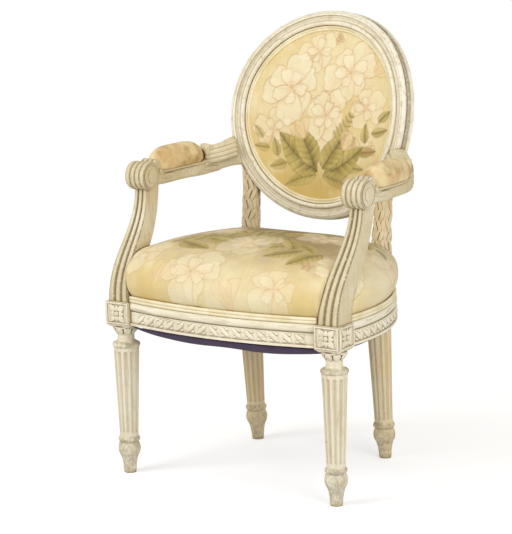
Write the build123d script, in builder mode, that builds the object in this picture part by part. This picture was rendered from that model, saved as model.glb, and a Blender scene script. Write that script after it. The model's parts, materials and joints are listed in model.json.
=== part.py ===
from build123d import *
import os
from math import atan2, cos, degrees, hypot, pi, radians, sin, sqrt

os.makedirs("parts", exist_ok=True)

# An open armchair with a round, curved back. Sizes are in millimetres.
# X runs across the chair, Y from its front to its back and Z up from the floor.

# Seat frame
front_leg_spread = 492.0     # between the front legs' axes
front_leg_y = -200.8         # puts the origin under the middle of the chair
seat_frame_depth = 322.0     # front legs' axes to rear legs' axes, at the rails
rear_leg_spread = 314.0      # between the rear legs' axes
rear_foot_kick = 22.0        # how far the rear feet stand behind the rear blocks
die_size = 56.0              # square block on top of each front leg
die_height = 53.0
die_chamfer = 6.0            # round the foot of the block
rear_block_size = 48.0
rear_block_rise = 6.0        # rear block above the rails
rail_height = 46.0
rail_thickness = 26.0
rear_rail_thickness = 22.0
rail_setback = 4.0           # rail face behind the face of the front blocks
front_bow = 27.0             # how far the front rail bulges
side_bow = 35.0              # how far the side rails bulge
roll_height = 16.0           # round moulding along the top of the rails
roll_depth = 4.0
quirk_height = 2.0           # groove under the round moulding
quirk_depth = 6.0
band_depth = 3.0             # flat band, set back for its carving
lip_height = 5.0             # square edge along the bottom
tenon_length = 20.0
tenon_thickness = 10.0
tenon_height = 26.0
tenon_lift = 5.0             # tenon above the bottom of its rail
rear_tenon_shift = 6.0       # side rail's rear tenon, inward of its middle
fit_gap = 0.2                # clearance round tenons, dowels and screws

# Turned legs
leg_height = 307.0           # floor to the square blocks
foot_tip_radius = 12.0
foot_tip_height = 6.0
foot_flank_radius = 18.0
foot_flank_height = 36.0
foot_waist_radius = 14.3
foot_bulb_radius = 22.8
foot_bulb_height = 51.0
ankle_radius = 19.5
ankle_height = 63.0
ankle_ring_radius = 22.4
ankle_ring_height = 10.0
ankle_step = 3.0             # plain necks under and over the ankle's ring
shaft_foot_radius = 18.8
shaft_top_radius = 26.0
collar_height = 43.0         # shaft top to the square block, front legs
collar_ring_radius = 28.4
collar_ring_height = 8.0
collar_step_radius = 23.5
collar_step_height = 1.5
collar_cove_height = 10.0
neck_radius = 17.0
neck_length = 6.0
flare_radius = 25.0
flare_edge = 3.0             # square edge under the block
rear_shaft_sink = 8.0        # rear shaft inside its block
flute_count = 12
flute_foot_radius = 3.5
flute_top_radius = 4.7
flute_lift = 1.5             # flute centres outside the shaft's surface
flute_margin = 7.0           # plain shaft left at both ends of a flute

# Round back
back_centre_setback = 61.0   # centre of the back behind the rear legs' axes
back_centre_rise = 341.0     # centre of the back above the rails
back_rake = 12.0             # degrees
back_curve = 514.0           # radius of the hollow back, seen from above
back_half_width = 212.0      # outer edge, measured along the curve
back_half_height = 216.0
back_frame_width = 45.0
back_frame_depth = 30.0
back_rebate_width = 14.0     # hidden under the upholstery
back_rebate_depth = 12.0
back_bead_width = 9.0
back_bead_rise = 4.0
back_quirk = 2.0
back_hollow_width = 10.0
back_hollow_depth = 2.0
back_roll_drop = 8.0
back_side_hollow = 3.0
back_side_step = 3.0         # square edge in front of the side's hollow
back_rear_edge = 7.0         # and behind it
back_rear_rebate_width = 12.0
back_rear_rebate_depth = 3.0
back_top_angle = 50.0        # joints of the top segment, degrees from the side
back_bottom_angle = 60.0     # joints of the bottom segment
section_step = 11.0          # degrees between the sections of a curved run

# Stiles of the back
stile_base_width = 43.0
stile_base_depth = 40.0
stile_waist_rise = 78.0
stile_waist_set = 11.5
stile_waist_width = 33.0
stile_waist_depth = 30.0
stile_top_rise = 223.0
stile_top_width = 42.0
stile_top_out = 4.0          # stile's top outside the leg's axis
stile_top_depth = 18.0
stile_top_lead = 3.5         # stile's top forward of the round frame's dowels
stile_top_tilt = 32.0        # degrees, to follow the round frame
stile_edge = 5.0             # rounding of the stile's corners
stile_dowel_rise = 209.0     # joint with the round frame above the rails, at its dowel
stile_dowel_back = 0.0       # that dowel behind those of the round frame

# Arms and their supports
scroll_radius = 29.0
scroll_width = 46.0
scroll_reeds = 4
scroll_reed_depth = 1.8
scroll_out = 8.0             # scroll outside the front leg's axis
scroll_back = 84.0           # scroll behind the front leg's axis
scroll_rise = 240.0          # scroll above the rails
leaf_roll_radius = 12.0
leaf_roll_width = 36.0
leaf_roll_back = 28.0        # small leaf roll behind the scroll
leaf_roll_lift = 19.0
rear_roll_radius = 13.0      # small roll behind the pad
rear_roll_width = 32.0
rear_roll_lift = 28.0        # above the middle of the arm
rear_roll_turn = 26.0        # degrees, across the arm there
arm_top_rise = 243.0         # seat of the arm pad above the rails
arm_width = 40.0
arm_thickness = 27.0
arm_head_height = 44.0
arm_step_height = 46.0       # arm behind its pad
arm_edge = 7.0
arm_joint_angle = -28.0      # where the arm meets the round back, degrees
arm_end_thickness = 20.0
arm_end_height = 48.0
arm_end_sink = 14.0          # arm inside the back frame's outer edge before it is fitted
support_foot_width = 47.0
support_foot_depth = 52.0
support_top_width = 29.0
support_top_depth = 44.0
support_reed = 3.0
support_foot_back = 1.5      # middle of the support's foot, behind the leg's axis
support_top_back = 97.0
support_sink = 18.0          # support above the scroll's foot, before it is fitted

# Dowels and screws
dowel_radius = 4.0
dowel_reach = 17.0           # into each piece
support_dowel_radius = 6.0
support_dowel_set = 4.0      # towards the outer and rear side of its block
support_dowel_spare = 3.0    # wood between the dowel and the tenons
screw_radius = 2.0
screw_head_radius = 4.0
screw_head_height = 2.6
screw_grip = 20.0            # wood of the corner block under a screw's head
screw_bite = 13.0            # screw inside the rail
front_block_size = 110.0
rear_corner_block_size = 150.0
corner_block_height = 34.0

# Seat upholstery
seat_crown = 129.0           # top of the seat above the rails
seat_middle_lead = 10.0      # highest point of the seat, forward of its middle
seat_front_corner = 30.0
seat_rear_corner = 34.0
cover_thickness = 1.6
hessian_thickness = 1.2
hessian_rise = 55.0
web_width = 50.0
web_thickness = 1.5
web_pitch = 68.0             # of the back's straps; the seat's lie under its springs
web_inset = 8.0              # strap ends inside the faces of the rails
spring_rows = 3
spring_pitch_x = 102.0
spring_pitch_y = 96.0
spring_radius = 30.0
spring_waist = 8.0
spring_turns = 4
spring_wire = 1.9            # radius of the wire
spring_room = 15.0           # height left over the springs' ends, for their wire and the cloth's fall
gimp_height = 13.0
gimp_depth = 4.5
gimp_line = 1.5              # cord's crest inside the rail faces
dust_sag = 26.0
dust_thickness = 1.0
dust_room = 2.0              # round the rear legs
soft_gap = 0.3               # soft pieces stay this far from their neighbours
back_fit = 0.7               # cloth off the round frame, whose run is a little flatter

# Back and arm upholstery
back_crown = 24.0
back_edge_level = -5.0       # cover's edge behind the frame's face
pad_room = 2.0               # between the padding's edge and the frame's opening
rear_cloth_room = 0.5        # between the rear cloth's edge and its rebate
back_gimp_width = 10.5
back_gimp_rise = 4.2
rear_gimp_width = 9.0
rear_gimp_rise = 2.6
pad_front_back = 118.0       # front of the arm pad behind the front leg's axis
pad_length = 166.0
pad_width = 53.0
pad_height = 48.0

# Places that follow from the sizes
front_leg_x = front_leg_spread / 2
rear_leg_x = rear_leg_spread / 2
rear_leg_y = front_leg_y + seat_frame_depth
rail_top = leg_height + die_height
rail_bottom = rail_top - rail_height
rear_face_y = rear_leg_y + rear_block_size / 2
rear_block_front_y = rear_leg_y - rear_block_size / 2
shaft_foot_height = ankle_height + ankle_ring_height + 2 * ankle_step
seat_middle_y = (front_leg_y + rear_leg_y) / 2 - seat_middle_lead
back_origin = Vector(0, rear_leg_y + back_centre_setback, rail_top + back_centre_rise)
back_forward = Vector(0, -cos(radians(back_rake)), sin(radians(back_rake)))
back_plane = Plane(origin=back_origin, x_dir=(1, 0, 0), z_dir=back_forward)
back_up = back_plane.y_dir


def save(piece, name):
    """Label a finished piece and write it."""
    piece.label = name
    export_step(piece, f"parts/{name}.step")


def mirrored(piece):
    """The same piece on the other side of the chair."""
    with BuildPart() as other:
        mirror(piece, about=Plane.YZ)
    return other.part


def save_pair(right, name):
    """Write a right-hand piece and its left-hand twin."""
    save(right, name + "_right")
    save(mirrored(right), name + "_left")


def largest(piece):
    """The main solid of a piece, without the crumbs that fitting leaves."""
    return piece.solids().sort_by(SortBy.VOLUME)[-1]


def rod(start, end, radius):
    """A round rod between two points."""
    start, end = Vector(start), Vector(end)
    with BuildPart() as piece:
        with BuildSketch(Plane(origin=start, z_dir=end - start)):
            Circle(radius)
        extrude(amount=(end - start).length)
    return piece.part


def rod_hole(start, end, radius):
    """The hole that takes a rod, with its clearance all round."""
    start, end = Vector(start), Vector(end)
    along = (end - start).normalized() * fit_gap
    return rod(start - along, end + along, radius + fit_gap)


# The bowed rails: arcs seen from above, with one moulded section turned about each arc's centre


def bow(start, end, rise):
    """Centre and radius of an arc that bulges to the right of the way from start to end."""
    half = hypot(end[0] - start[0], end[1] - start[1]) / 2
    radius = (half**2 + rise**2) / (2 * rise)
    right = ((end[1] - start[1]) / (2 * half), (start[0] - end[0]) / (2 * half))
    middle = ((start[0] + end[0]) / 2, (start[1] + end[1]) / 2)
    return (middle[0] + right[0] * (rise - radius), middle[1] + right[1] * (rise - radius)), radius


front_rail_end = (front_leg_x - die_size / 2, front_leg_y - die_size / 2 + rail_setback)
side_rail_start = (front_leg_x + die_size / 2 - rail_setback, front_leg_y + die_size / 2)
side_rail_end = (rear_leg_x + rear_block_size / 2, rear_face_y)
front_centre, front_radius = bow((-front_rail_end[0], front_rail_end[1]), front_rail_end, front_bow)
side_centre, side_radius = bow(side_rail_start, side_rail_end, side_bow)


def moulded_run(centre, radius, first, last):
    """A length of moulded rail between two angles, in radians, about the bow's centre."""
    outward = Vector(cos(first), sin(first), 0)
    plane = Plane(origin=(*centre, 0), x_dir=outward, z_dir=outward.cross(Vector(0, 0, 1)))
    inside = radius - rail_thickness
    roll_bottom = rail_top - roll_height
    quirk_bottom = roll_bottom - quirk_height
    lip_top = rail_bottom + lip_height
    with BuildPart() as run:
        with BuildSketch(plane):
            with BuildLine():
                Polyline(
                    (radius - roll_depth, rail_top),
                    (inside, rail_top),
                    (inside, rail_bottom),
                    (radius, rail_bottom),
                    (radius, lip_top),
                    (radius - band_depth, lip_top),
                    (radius - band_depth, quirk_bottom),
                    (radius - quirk_depth, quirk_bottom),
                    (radius - quirk_depth, roll_bottom),
                    (radius - roll_depth, roll_bottom),
                )
                ThreePointArc(
                    (radius - roll_depth, roll_bottom),
                    (radius, (roll_bottom + rail_top) / 2),
                    (radius - roll_depth, rail_top),
                )
            make_face()
        revolve(axis=Axis((*centre, 0), (0, 0, 1)), revolution_arc=degrees(last - first))
    return run.part


trim_angle = radians(3)      # runs start this much early, and are cut to the blocks
front_angles = [
    atan2(front_rail_end[1] - front_centre[1], side * front_rail_end[0]) for side in (-1, 1)
]
side_angles = [
    atan2(end[1] - side_centre[1], end[0] - side_centre[0]) for end in (side_rail_start, side_rail_end)
]
side_run = moulded_run(side_centre, side_radius, side_angles[0] - trim_angle, side_angles[1])
rear_block_front = Plane(origin=(0, rear_block_front_y, 0), z_dir=(0, 1, 0))
die_back = Plane(origin=(0, side_rail_start[1], 0), z_dir=(0, 1, 0))
die_inside = Plane(origin=(front_rail_end[0], 0, 0), z_dir=(1, 0, 0))
tenon_z = rail_bottom + tenon_lift + tenon_height / 2


def rail_middle_x(y):
    """Middle of the right side rail's thickness at a place along it."""
    middle = side_radius - rail_thickness / 2
    return side_centre[0] + sqrt(middle**2 - (y - side_centre[1]) ** 2)


front_tenon = (front_rail_end[0], front_rail_end[1] + rail_thickness / 2, tenon_z)
side_front_tenon = (rail_middle_x(side_rail_start[1]), side_rail_start[1], tenon_z)
side_rear_tenon = (rail_middle_x(rear_block_front_y) - rear_tenon_shift, rear_block_front_y, tenon_z)
rear_tenon = (rear_leg_x - rear_block_size / 2, rear_face_y - rear_rail_thickness / 2, tenon_z)


def tenon_across(place, gap):
    """A tenon that runs outward along X, or its mortise."""
    with BuildPart() as tenon:
        with Locations(place):
            Box(2 * (tenon_length + gap), tenon_thickness + 2 * gap, tenon_height + 2 * gap)
    return tenon.part


def tenon_along(place, gap):
    """A tenon that runs along Y, or its mortise."""
    with BuildPart() as tenon:
        with Locations(place):
            Box(tenon_thickness + 2 * gap, 2 * (tenon_length + gap), tenon_height + 2 * gap)
    return tenon.part


with BuildPart() as front_rail:
    add(moulded_run(front_centre, front_radius, front_angles[0] - trim_angle, front_angles[1] + trim_angle))
    split(bisect_by=die_inside, keep=Keep.BOTTOM)
    split(bisect_by=Plane(origin=(-front_rail_end[0], 0, 0), z_dir=(1, 0, 0)), keep=Keep.TOP)
    add(tenon_across(front_tenon, 0))
    add(mirrored(tenon_across(front_tenon, 0)))

with BuildPart() as side_rail:
    add(side_run)
    split(bisect_by=rear_block_front, keep=Keep.BOTTOM)
    split(bisect_by=die_back, keep=Keep.TOP)
    add(tenon_along(side_front_tenon, 0))
    add(tenon_along(side_rear_tenon, 0))

with BuildPart() as rear_rail:
    with Locations((0, rear_tenon[1], rail_bottom)):
        Box(
            2 * rear_tenon[0], rear_rail_thickness, rail_height,
            align=(Align.CENTER, Align.CENTER, Align.MIN),
        )
    add(tenon_across(rear_tenon, 0))
    add(mirrored(tenon_across(rear_tenon, 0)))


# The turned legs


def flute(foot_height, top_height):
    """The cutter for one flute, standing at the front of the shaft."""
    run = top_height - foot_height - 2 * flute_margin
    lean = (shaft_top_radius - shaft_foot_radius) / (top_height - foot_height)
    with BuildPart() as cutter:
        Cone(
            flute_foot_radius, flute_top_radius, run,
            rotation=(0, degrees(atan2(lean, 1)), 0),
            align=(Align.CENTER, Align.CENTER, Align.MIN),
        )
        ends = cutter.edges().filter_by(GeomType.CIRCLE).sort_by(Axis.Z)
        fillet(ends[-1], flute_top_radius * 0.9)
        ends = cutter.edges().filter_by(GeomType.CIRCLE).sort_by(Axis.Z)
        fillet(ends[0], flute_foot_radius * 0.9)
    reach = shaft_foot_radius + lean * flute_margin + flute_lift
    return cutter.part.moved(Location((reach, 0, foot_height + flute_margin)))


def turned_leg(shaft_top, outline_above):
    """Foot and fluted shaft round the Z axis, with the points above the shaft's top added."""
    ring_bottom = ankle_height + ankle_step
    ring_top = ring_bottom + ankle_ring_height
    with BuildPart() as leg:
        with BuildSketch(Plane.XZ):
            with BuildLine():
                Polyline(
                    (0, -foot_tip_height), (foot_tip_radius, -foot_tip_height),
                    (foot_tip_radius, 0), (foot_tip_radius + 1, foot_tip_height),
                )
                ThreePointArc(
                    (foot_tip_radius + 1, foot_tip_height),
                    (foot_waist_radius, (foot_tip_height + foot_flank_height) / 2),
                    (foot_flank_radius, foot_flank_height),
                )
                ThreePointArc(
                    (foot_flank_radius, foot_flank_height),
                    (foot_bulb_radius, foot_bulb_height),
                    (ankle_radius, ankle_height),
                )
                Line((ankle_radius, ankle_height), (ankle_radius, ring_bottom))
                ThreePointArc(
                    (ankle_radius, ring_bottom),
                    (ankle_ring_radius, (ring_bottom + ring_top) / 2),
                    (ankle_radius, ring_top),
                )
                Polyline(
                    (ankle_radius, ring_top),
                    (shaft_foot_radius, shaft_foot_height),
                    (shaft_top_radius, shaft_top),
                )
                add(outline_above)
            make_face()
        revolve(axis=Axis.Z)
        with PolarLocations(0, flute_count):
            add(flute(shaft_foot_height, shaft_top), mode=Mode.SUBTRACT)
    return leg.part


front_shaft_top = leg_height - collar_height
collar_ring_top = front_shaft_top + collar_ring_height
cove_top = collar_ring_top + collar_cove_height
collar_step_top = collar_ring_top + collar_step_height
neck_top = cove_top + neck_length
with BuildLine() as front_collar:
    ThreePointArc(
        (shaft_top_radius, front_shaft_top),
        (collar_ring_radius, (front_shaft_top + collar_ring_top) / 2),
        (shaft_top_radius, collar_ring_top),
    )
    Line((shaft_top_radius, collar_ring_top), (collar_step_radius, collar_step_top))
    ThreePointArc(
        (collar_step_radius, collar_step_top),
        (neck_radius + 2, collar_ring_top + collar_cove_height * 0.38),
        (neck_radius, cove_top),
    )
    Line((neck_radius, cove_top), (neck_radius, neck_top))
    ThreePointArc(
        (neck_radius, neck_top),
        (neck_radius + 2.4, (neck_top + leg_height) / 2 + 2),
        (flare_radius, leg_height - flare_edge),
    )
    Polyline(
        (flare_radius, leg_height - flare_edge), (flare_radius, leg_height),
        (0, leg_height), (0, -foot_tip_height),
    )

support_dowel = (front_leg_x + support_dowel_set, front_leg_y + support_dowel_set, rail_top)
support_dowel_reach = rail_height - tenon_lift - tenon_height - support_dowel_spare

with BuildPart() as front_die:
    Box(die_size, die_size, die_height, align=(Align.CENTER, Align.CENTER, Align.MIN))
    chamfer(front_die.edges().group_by(Axis.Z)[0], die_chamfer)

with BuildPart() as front_leg:
    add(turned_leg(front_shaft_top, front_collar.line).moved(Location((front_leg_x, front_leg_y, 0))))
    with Locations((front_leg_x, front_leg_y, leg_height)):
        add(front_die.part)
    split(bisect_by=Plane.XY, keep=Keep.TOP)
    add(tenon_across(front_tenon, fit_gap), mode=Mode.SUBTRACT)
    add(tenon_along(side_front_tenon, fit_gap), mode=Mode.SUBTRACT)
    with Locations(support_dowel):
        Hole(support_dowel_radius + fit_gap, support_dowel_reach + fit_gap)


# The hollow, raked round back: places are given along the curve, up the back and forward of it


def back_direction(x, y, z):
    """A direction in the back's own frame, turned to the chair's."""
    return back_plane.x_dir * x + back_plane.y_dir * y + back_plane.z_dir * z


def ring_plane(angle, inset=0, level=0):
    """The plane across the round frame at an angle: x points outward and y forward."""
    half = back_frame_width / 2
    out = Vector(back_half_height * cos(angle), back_half_width * sin(angle)).normalized()
    along = back_half_width * cos(angle) - half * out.X
    up = back_half_height * sin(angle) - half * out.Y
    turn = along / back_curve
    outward = back_direction(cos(turn) * out.X, out.Y, sin(turn) * out.X)
    forward = back_direction(-sin(turn), 0, cos(turn))
    middle = back_plane.from_local_coords(
        Vector(back_curve * sin(turn), up, back_curve * (1 - cos(turn)))
    )
    place = middle + outward * (half - inset) + forward * level
    return Plane(origin=place, x_dir=outward, z_dir=outward.cross(forward))


def ring_run(outline, first, last):
    """Loft a section of the round frame from one angle to another, in degrees."""
    count = round((last - first) / section_step) + 1
    sections = []
    for step in range(count):
        angle = radians(first + (last - first) * step / (count - 1))
        with BuildSketch(ring_plane(angle)) as section:
            make_face(outline.edges())
        sections.append(section.sketch)
    with BuildPart() as run:
        loft(sections)
    return run.part


bead_inside = back_rebate_width - back_frame_width
bead_outside = bead_inside + back_bead_width
hollow_inside = bead_outside + back_quirk
hollow_outside = hollow_inside + back_hollow_width
side_top = -back_roll_drop - back_side_step
side_bottom = -back_frame_depth + back_rear_edge
with BuildLine() as frame_outline:
    Polyline(
        (bead_inside, 0),
        (bead_inside, -back_rebate_depth),
        (-back_frame_width, -back_rebate_depth),
        (-back_frame_width, back_rear_rebate_depth - back_frame_depth),
        (back_rear_rebate_width - back_frame_width, back_rear_rebate_depth - back_frame_depth),
        (back_rear_rebate_width - back_frame_width, -back_frame_depth),
        (0, -back_frame_depth),
        (0, side_bottom),
    )
    ThreePointArc(
        (0, side_bottom),
        (-back_side_hollow, (side_top + side_bottom) / 2),
        (0, side_top),
    )
    Line((0, side_top), (0, -back_roll_drop))
    ThreePointArc(
        (0, -back_roll_drop),
        (hollow_outside / 3, -back_roll_drop / 4),
        (hollow_outside, 0),
    )
    Line((hollow_outside, 0), (hollow_outside, -back_quirk))
    ThreePointArc(
        (hollow_outside, -back_quirk),
        ((hollow_inside + hollow_outside) / 2, -back_quirk - back_hollow_depth),
        (hollow_inside, -back_quirk),
    )
    Polyline((hollow_inside, -back_quirk), (bead_outside, -back_quirk), (bead_outside, 0))
    ThreePointArc(
        (bead_outside, 0),
        ((bead_inside + bead_outside) / 2, back_bead_rise),
        (bead_inside, 0),
    )

dowel_inset = (back_frame_width - back_rebate_width) / 2
dowel_level = -back_frame_depth * 0.55


def ring_dowel(angle):
    """Ends of the dowel across a joint of the round frame."""
    joint = ring_plane(radians(angle), dowel_inset, dowel_level)
    return joint.origin - joint.z_dir * dowel_reach, joint.origin + joint.z_dir * dowel_reach


back_joints = [back_top_angle, 180 - back_top_angle, 180 + back_bottom_angle, 360 - back_bottom_angle]
back_dowel_ends = [ring_dowel(angle) for angle in back_joints]
right_run = ring_run(frame_outline.line, -back_bottom_angle, back_top_angle)

# Stiles and arms run into the round frame, and are then fitted to it


def back_place(x, z, level):
    """The point of the hollow back at a place across and up, this far forward of its face."""
    reach = back_curve - level
    turn = atan2(x, sqrt(reach**2 - x**2))
    forward = back_curve - reach * cos(turn)
    up = (z - back_origin.Z - forward * back_plane.z_dir.Z) / back_plane.y_dir.Z
    return back_plane.from_local_coords(Vector(x, up, forward)), turn


stile_top, stile_turn = back_place(
    rear_leg_x + stile_top_out, rail_top + stile_top_rise, dowel_level + stile_top_lead
)
stile_base_z = rail_top - rear_block_rise
stile_sections = [
    (Vector(rear_leg_x, rear_leg_y, stile_base_z), 0, 0, stile_base_width, stile_base_depth),
    (
        Vector(rear_leg_x + stile_top_out / 4, rear_leg_y + stile_waist_set, rail_top + stile_waist_rise),
        stile_turn / 2, 0, stile_waist_width, stile_waist_depth,
    ),
    (stile_top, stile_turn, radians(stile_top_tilt), stile_top_width, stile_top_depth),
]


def stile_form(spare):
    """The stile from the rear block into the round frame, with spare all round."""
    sections = []
    for place, turn, tilt, width, depth in stile_sections:
        across = Vector(cos(turn) * cos(tilt), -sin(turn) * cos(tilt), sin(tilt))
        back = Vector(sin(turn), cos(turn), 0)
        plane = Plane(origin=place, x_dir=across, z_dir=across.cross(back))
        with BuildSketch(plane) as section:
            RectangleRounded(width + 2 * spare, depth + 2 * spare, stile_edge)
        sections.append(section.sketch)
    with BuildPart() as stile:
        loft(sections)
    return stile.part


stile_joint = back_place(rear_leg_x, rail_top + stile_dowel_rise, dowel_level - stile_dowel_back)[0]
stile_dowel_ends = (stile_joint - back_up * 2 * dowel_reach, stile_joint + back_up * dowel_reach)

arm_end = ring_plane(radians(arm_joint_angle), arm_end_sink, dowel_level)
arm_joint = ring_plane(radians(arm_joint_angle), 0, dowel_level)
scroll_centre = Vector(front_leg_x + scroll_out, front_leg_y + scroll_back, rail_top + scroll_rise)
arm_seat_z = rail_top + arm_top_rise
arm_middle_z = arm_seat_z - arm_thickness / 2
arm_line = [
    scroll_centre + Vector(0, 10, 2),
    Vector(scroll_centre.X, scroll_centre.Y + 55, arm_middle_z),
    Vector(scroll_centre.X, scroll_centre.Y + 100, arm_middle_z),
    Vector(scroll_centre.X - 3, scroll_centre.Y + 145, arm_middle_z),
    Vector(scroll_centre.X - 10, scroll_centre.Y + 190, arm_middle_z + 1.5),
    Vector(scroll_centre.X - 26, scroll_centre.Y + 226, arm_seat_z),
]
# Behind its pad the arm grows taller, to the round back
arm_sizes = [
    (arm_width, arm_head_height),
    (arm_width, arm_thickness),
    (arm_width, arm_thickness),
    (arm_width, arm_thickness),
    (arm_width - 3, arm_thickness + 4),
    (arm_width - 8, arm_step_height),
]
arm_way = (arm_line[-1] - arm_joint.origin).normalized()
arm_dowel_ends = (arm_joint.origin - arm_way * dowel_reach, arm_joint.origin + arm_way * dowel_reach)


def arm_sections(line, sizes, last):
    """Upright sections along an arm, each facing the way to the next place."""
    sections = []
    for number, (width, height) in enumerate(sizes):
        place = line[number]
        before = line[max(number - 1, 0)]
        after = line[number + 1] if number + 1 < len(line) else last
        way = Vector(after.X - before.X, after.Y - before.Y, 0).normalized()
        plane = Plane(origin=place, x_dir=way.cross(Vector(0, 0, 1)), z_dir=way * -1)
        with BuildSketch(plane) as section:
            RectangleRounded(width, height, arm_edge)
        sections.append(section.sketch)
    return sections


def reeded_roll(centre, radius, width, reeds, turn=0):
    """A roll lying across the arm, with reeds round it, turned by an angle from X in degrees."""
    pitch = width / reeds
    across = Vector(cos(radians(turn)), sin(radians(turn)), 0)
    with BuildPart() as roll:
        with BuildSketch(Plane(origin=centre, x_dir=across, z_dir=across.cross(Vector(0, 0, 1)))):
            with BuildLine():
                for reed in range(reeds):
                    start = -width / 2 + reed * pitch
                    ThreePointArc(
                        (start, radius - scroll_reed_depth),
                        (start + pitch / 2, radius),
                        (start + pitch, radius - scroll_reed_depth),
                    )
                Polyline(
                    (width / 2, radius - scroll_reed_depth), (width / 2, 0),
                    (-width / 2, 0), (-width / 2, radius - scroll_reed_depth),
                )
            make_face()
        revolve(axis=Axis(centre, across))
    return roll.part


support_rise = scroll_rise - scroll_radius + 1
support_top = Vector(scroll_centre.X, front_leg_y + support_top_back, rail_top + support_rise)
arm_support_dowel_ends = (support_top - Vector(0, 0, dowel_reach), support_top + Vector(0, 0, dowel_reach))

arm_end_plane = Plane(origin=arm_end.origin, x_dir=arm_end.y_dir * -1, z_dir=arm_end.x_dir)
with BuildSketch(arm_end_plane) as arm_end_section:
    RectangleRounded(arm_end_thickness, arm_end_height, arm_edge)

with BuildPart() as arm_run:
    loft(arm_sections(arm_line, arm_sizes, arm_end.origin) + [arm_end_section.sketch])
    add(right_run, mode=Mode.SUBTRACT)

with BuildPart() as arm:
    add(largest(arm_run.part))
    add(reeded_roll(scroll_centre, scroll_radius, scroll_width, scroll_reeds))
    add(
        reeded_roll(
            scroll_centre + Vector(-1, leaf_roll_back, leaf_roll_lift),
            leaf_roll_radius, leaf_roll_width, scroll_reeds - 1,
        )
    )
    add(
        reeded_roll(
            (arm_line[-2] + arm_line[-1]) * 0.5 + Vector(0, 0, rear_roll_lift),
            rear_roll_radius, rear_roll_width, scroll_reeds - 1, rear_roll_turn,
        )
    )
    add(rod_hole(*arm_dowel_ends, dowel_radius), mode=Mode.SUBTRACT)
    add(rod_hole(*arm_support_dowel_ends, dowel_radius), mode=Mode.SUBTRACT)

# Supports: rise above the rails, way behind the leg's axis, width, depth and lean in degrees
support_stations = [
    (0, support_foot_back, support_foot_width, support_foot_depth, 0),
    (52, 12, 42, 47, 22),
    (110, 52, 37, 44, 36),
    (160, 83, 32, 43, 26),
    (support_rise, support_top_back, support_top_width, support_top_depth, 6),
    (support_rise + support_sink, support_top_back + 2, support_top_width, support_top_depth, 4),
]


def support_section(width, depth):
    """Section of an arm support, with three reeds on its front."""
    front = -depth / 2 + support_reed
    with BuildLine() as outline:
        for reed in range(3):
            start = -width / 2 + reed * width / 3
            ThreePointArc(
                (start, front), (start + width / 6, front - support_reed), (start + width / 3, front)
            )
        Polyline((width / 2, front), (width / 2, depth / 2), (-width / 2, depth / 2), (-width / 2, front))
    return outline.line


support_sections = []
for rise, back, width, depth, lean in support_stations:
    along = Vector(0, sin(radians(lean)), cos(radians(lean)))
    out = scroll_out * rise / support_rise
    place = Vector(front_leg_x + out, front_leg_y + back, rail_top + rise)
    with BuildSketch(Plane(origin=place, x_dir=(1, 0, 0), z_dir=along)) as section:
        make_face(support_section(width, depth).edges())
    support_sections.append(section.sketch)

with BuildPart() as arm_support:
    loft(support_sections)
    add(arm.part, mode=Mode.SUBTRACT)
    add(rod_hole(*arm_support_dowel_ends, dowel_radius), mode=Mode.SUBTRACT)
    with Locations(Location(support_dowel, (180, 0, 0))):
        Hole(support_dowel_radius + fit_gap, support_dowel_reach + fit_gap)

# Rear legs, raked back to the floor, with the rail block and the stile in one piece
rear_leg_lean = degrees(atan2(rear_foot_kick, leg_height))
rear_shaft_top = leg_height - 2
with BuildLine() as rear_shaft_end:
    Polyline(
        (shaft_top_radius, rear_shaft_top), (shaft_top_radius, leg_height + rear_shaft_sink),
        (0, leg_height + rear_shaft_sink), (0, -foot_tip_height),
    )
rear_foot = Location((rear_leg_x, rear_leg_y + rear_foot_kick, 0), (rear_leg_lean, 0, 0))

with BuildPart() as fitted_stile:
    add(stile_form(0))
    add(right_run, mode=Mode.SUBTRACT)

with BuildPart() as rear_leg:
    add(turned_leg(rear_shaft_top, rear_shaft_end.line).moved(rear_foot))
    split(bisect_by=Plane.XY, keep=Keep.TOP)
    with Locations((rear_leg_x, rear_leg_y, leg_height)):
        Box(
            rear_block_size, rear_block_size, die_height + rear_block_rise,
            align=(Align.CENTER, Align.CENTER, Align.MIN),
        )
    add(split(side_run, bisect_by=rear_block_front, keep=Keep.TOP, mode=Mode.PRIVATE))
    add(largest(fitted_stile.part))
    add(tenon_along(side_rear_tenon, fit_gap), mode=Mode.SUBTRACT)
    add(tenon_across(rear_tenon, fit_gap), mode=Mode.SUBTRACT)
    add(rod_hole(*stile_dowel_ends, dowel_radius), mode=Mode.SUBTRACT)

# The four segments of the round frame
with BuildPart() as back_frame_right:
    add(right_run)
    for ends in back_dowel_ends:
        add(rod_hole(*ends, dowel_radius), mode=Mode.SUBTRACT)
    add(rod_hole(*stile_dowel_ends, dowel_radius), mode=Mode.SUBTRACT)
    add(rod_hole(*arm_dowel_ends, dowel_radius), mode=Mode.SUBTRACT)

with BuildPart() as back_frame_top:
    add(ring_run(frame_outline.line, back_joints[0], back_joints[1]))
    for ends in back_dowel_ends:
        add(rod_hole(*ends, dowel_radius), mode=Mode.SUBTRACT)

with BuildPart() as back_frame_bottom:
    add(ring_run(frame_outline.line, back_joints[2], back_joints[3]))
    for ends in back_dowel_ends:
        add(rod_hole(*ends, dowel_radius), mode=Mode.SUBTRACT)

with BuildPart() as back_frame_dowels:
    for ends in back_dowel_ends:
        add(rod(*ends, dowel_radius))

with BuildPart() as stile_dowels:
    add(rod(*stile_dowel_ends, dowel_radius))
    add(mirrored(rod(*stile_dowel_ends, dowel_radius)))

with BuildPart() as arm_dowels:
    for ends in (arm_dowel_ends, arm_support_dowel_ends):
        add(rod(*ends, dowel_radius))
        add(mirrored(rod(*ends, dowel_radius)))

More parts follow.
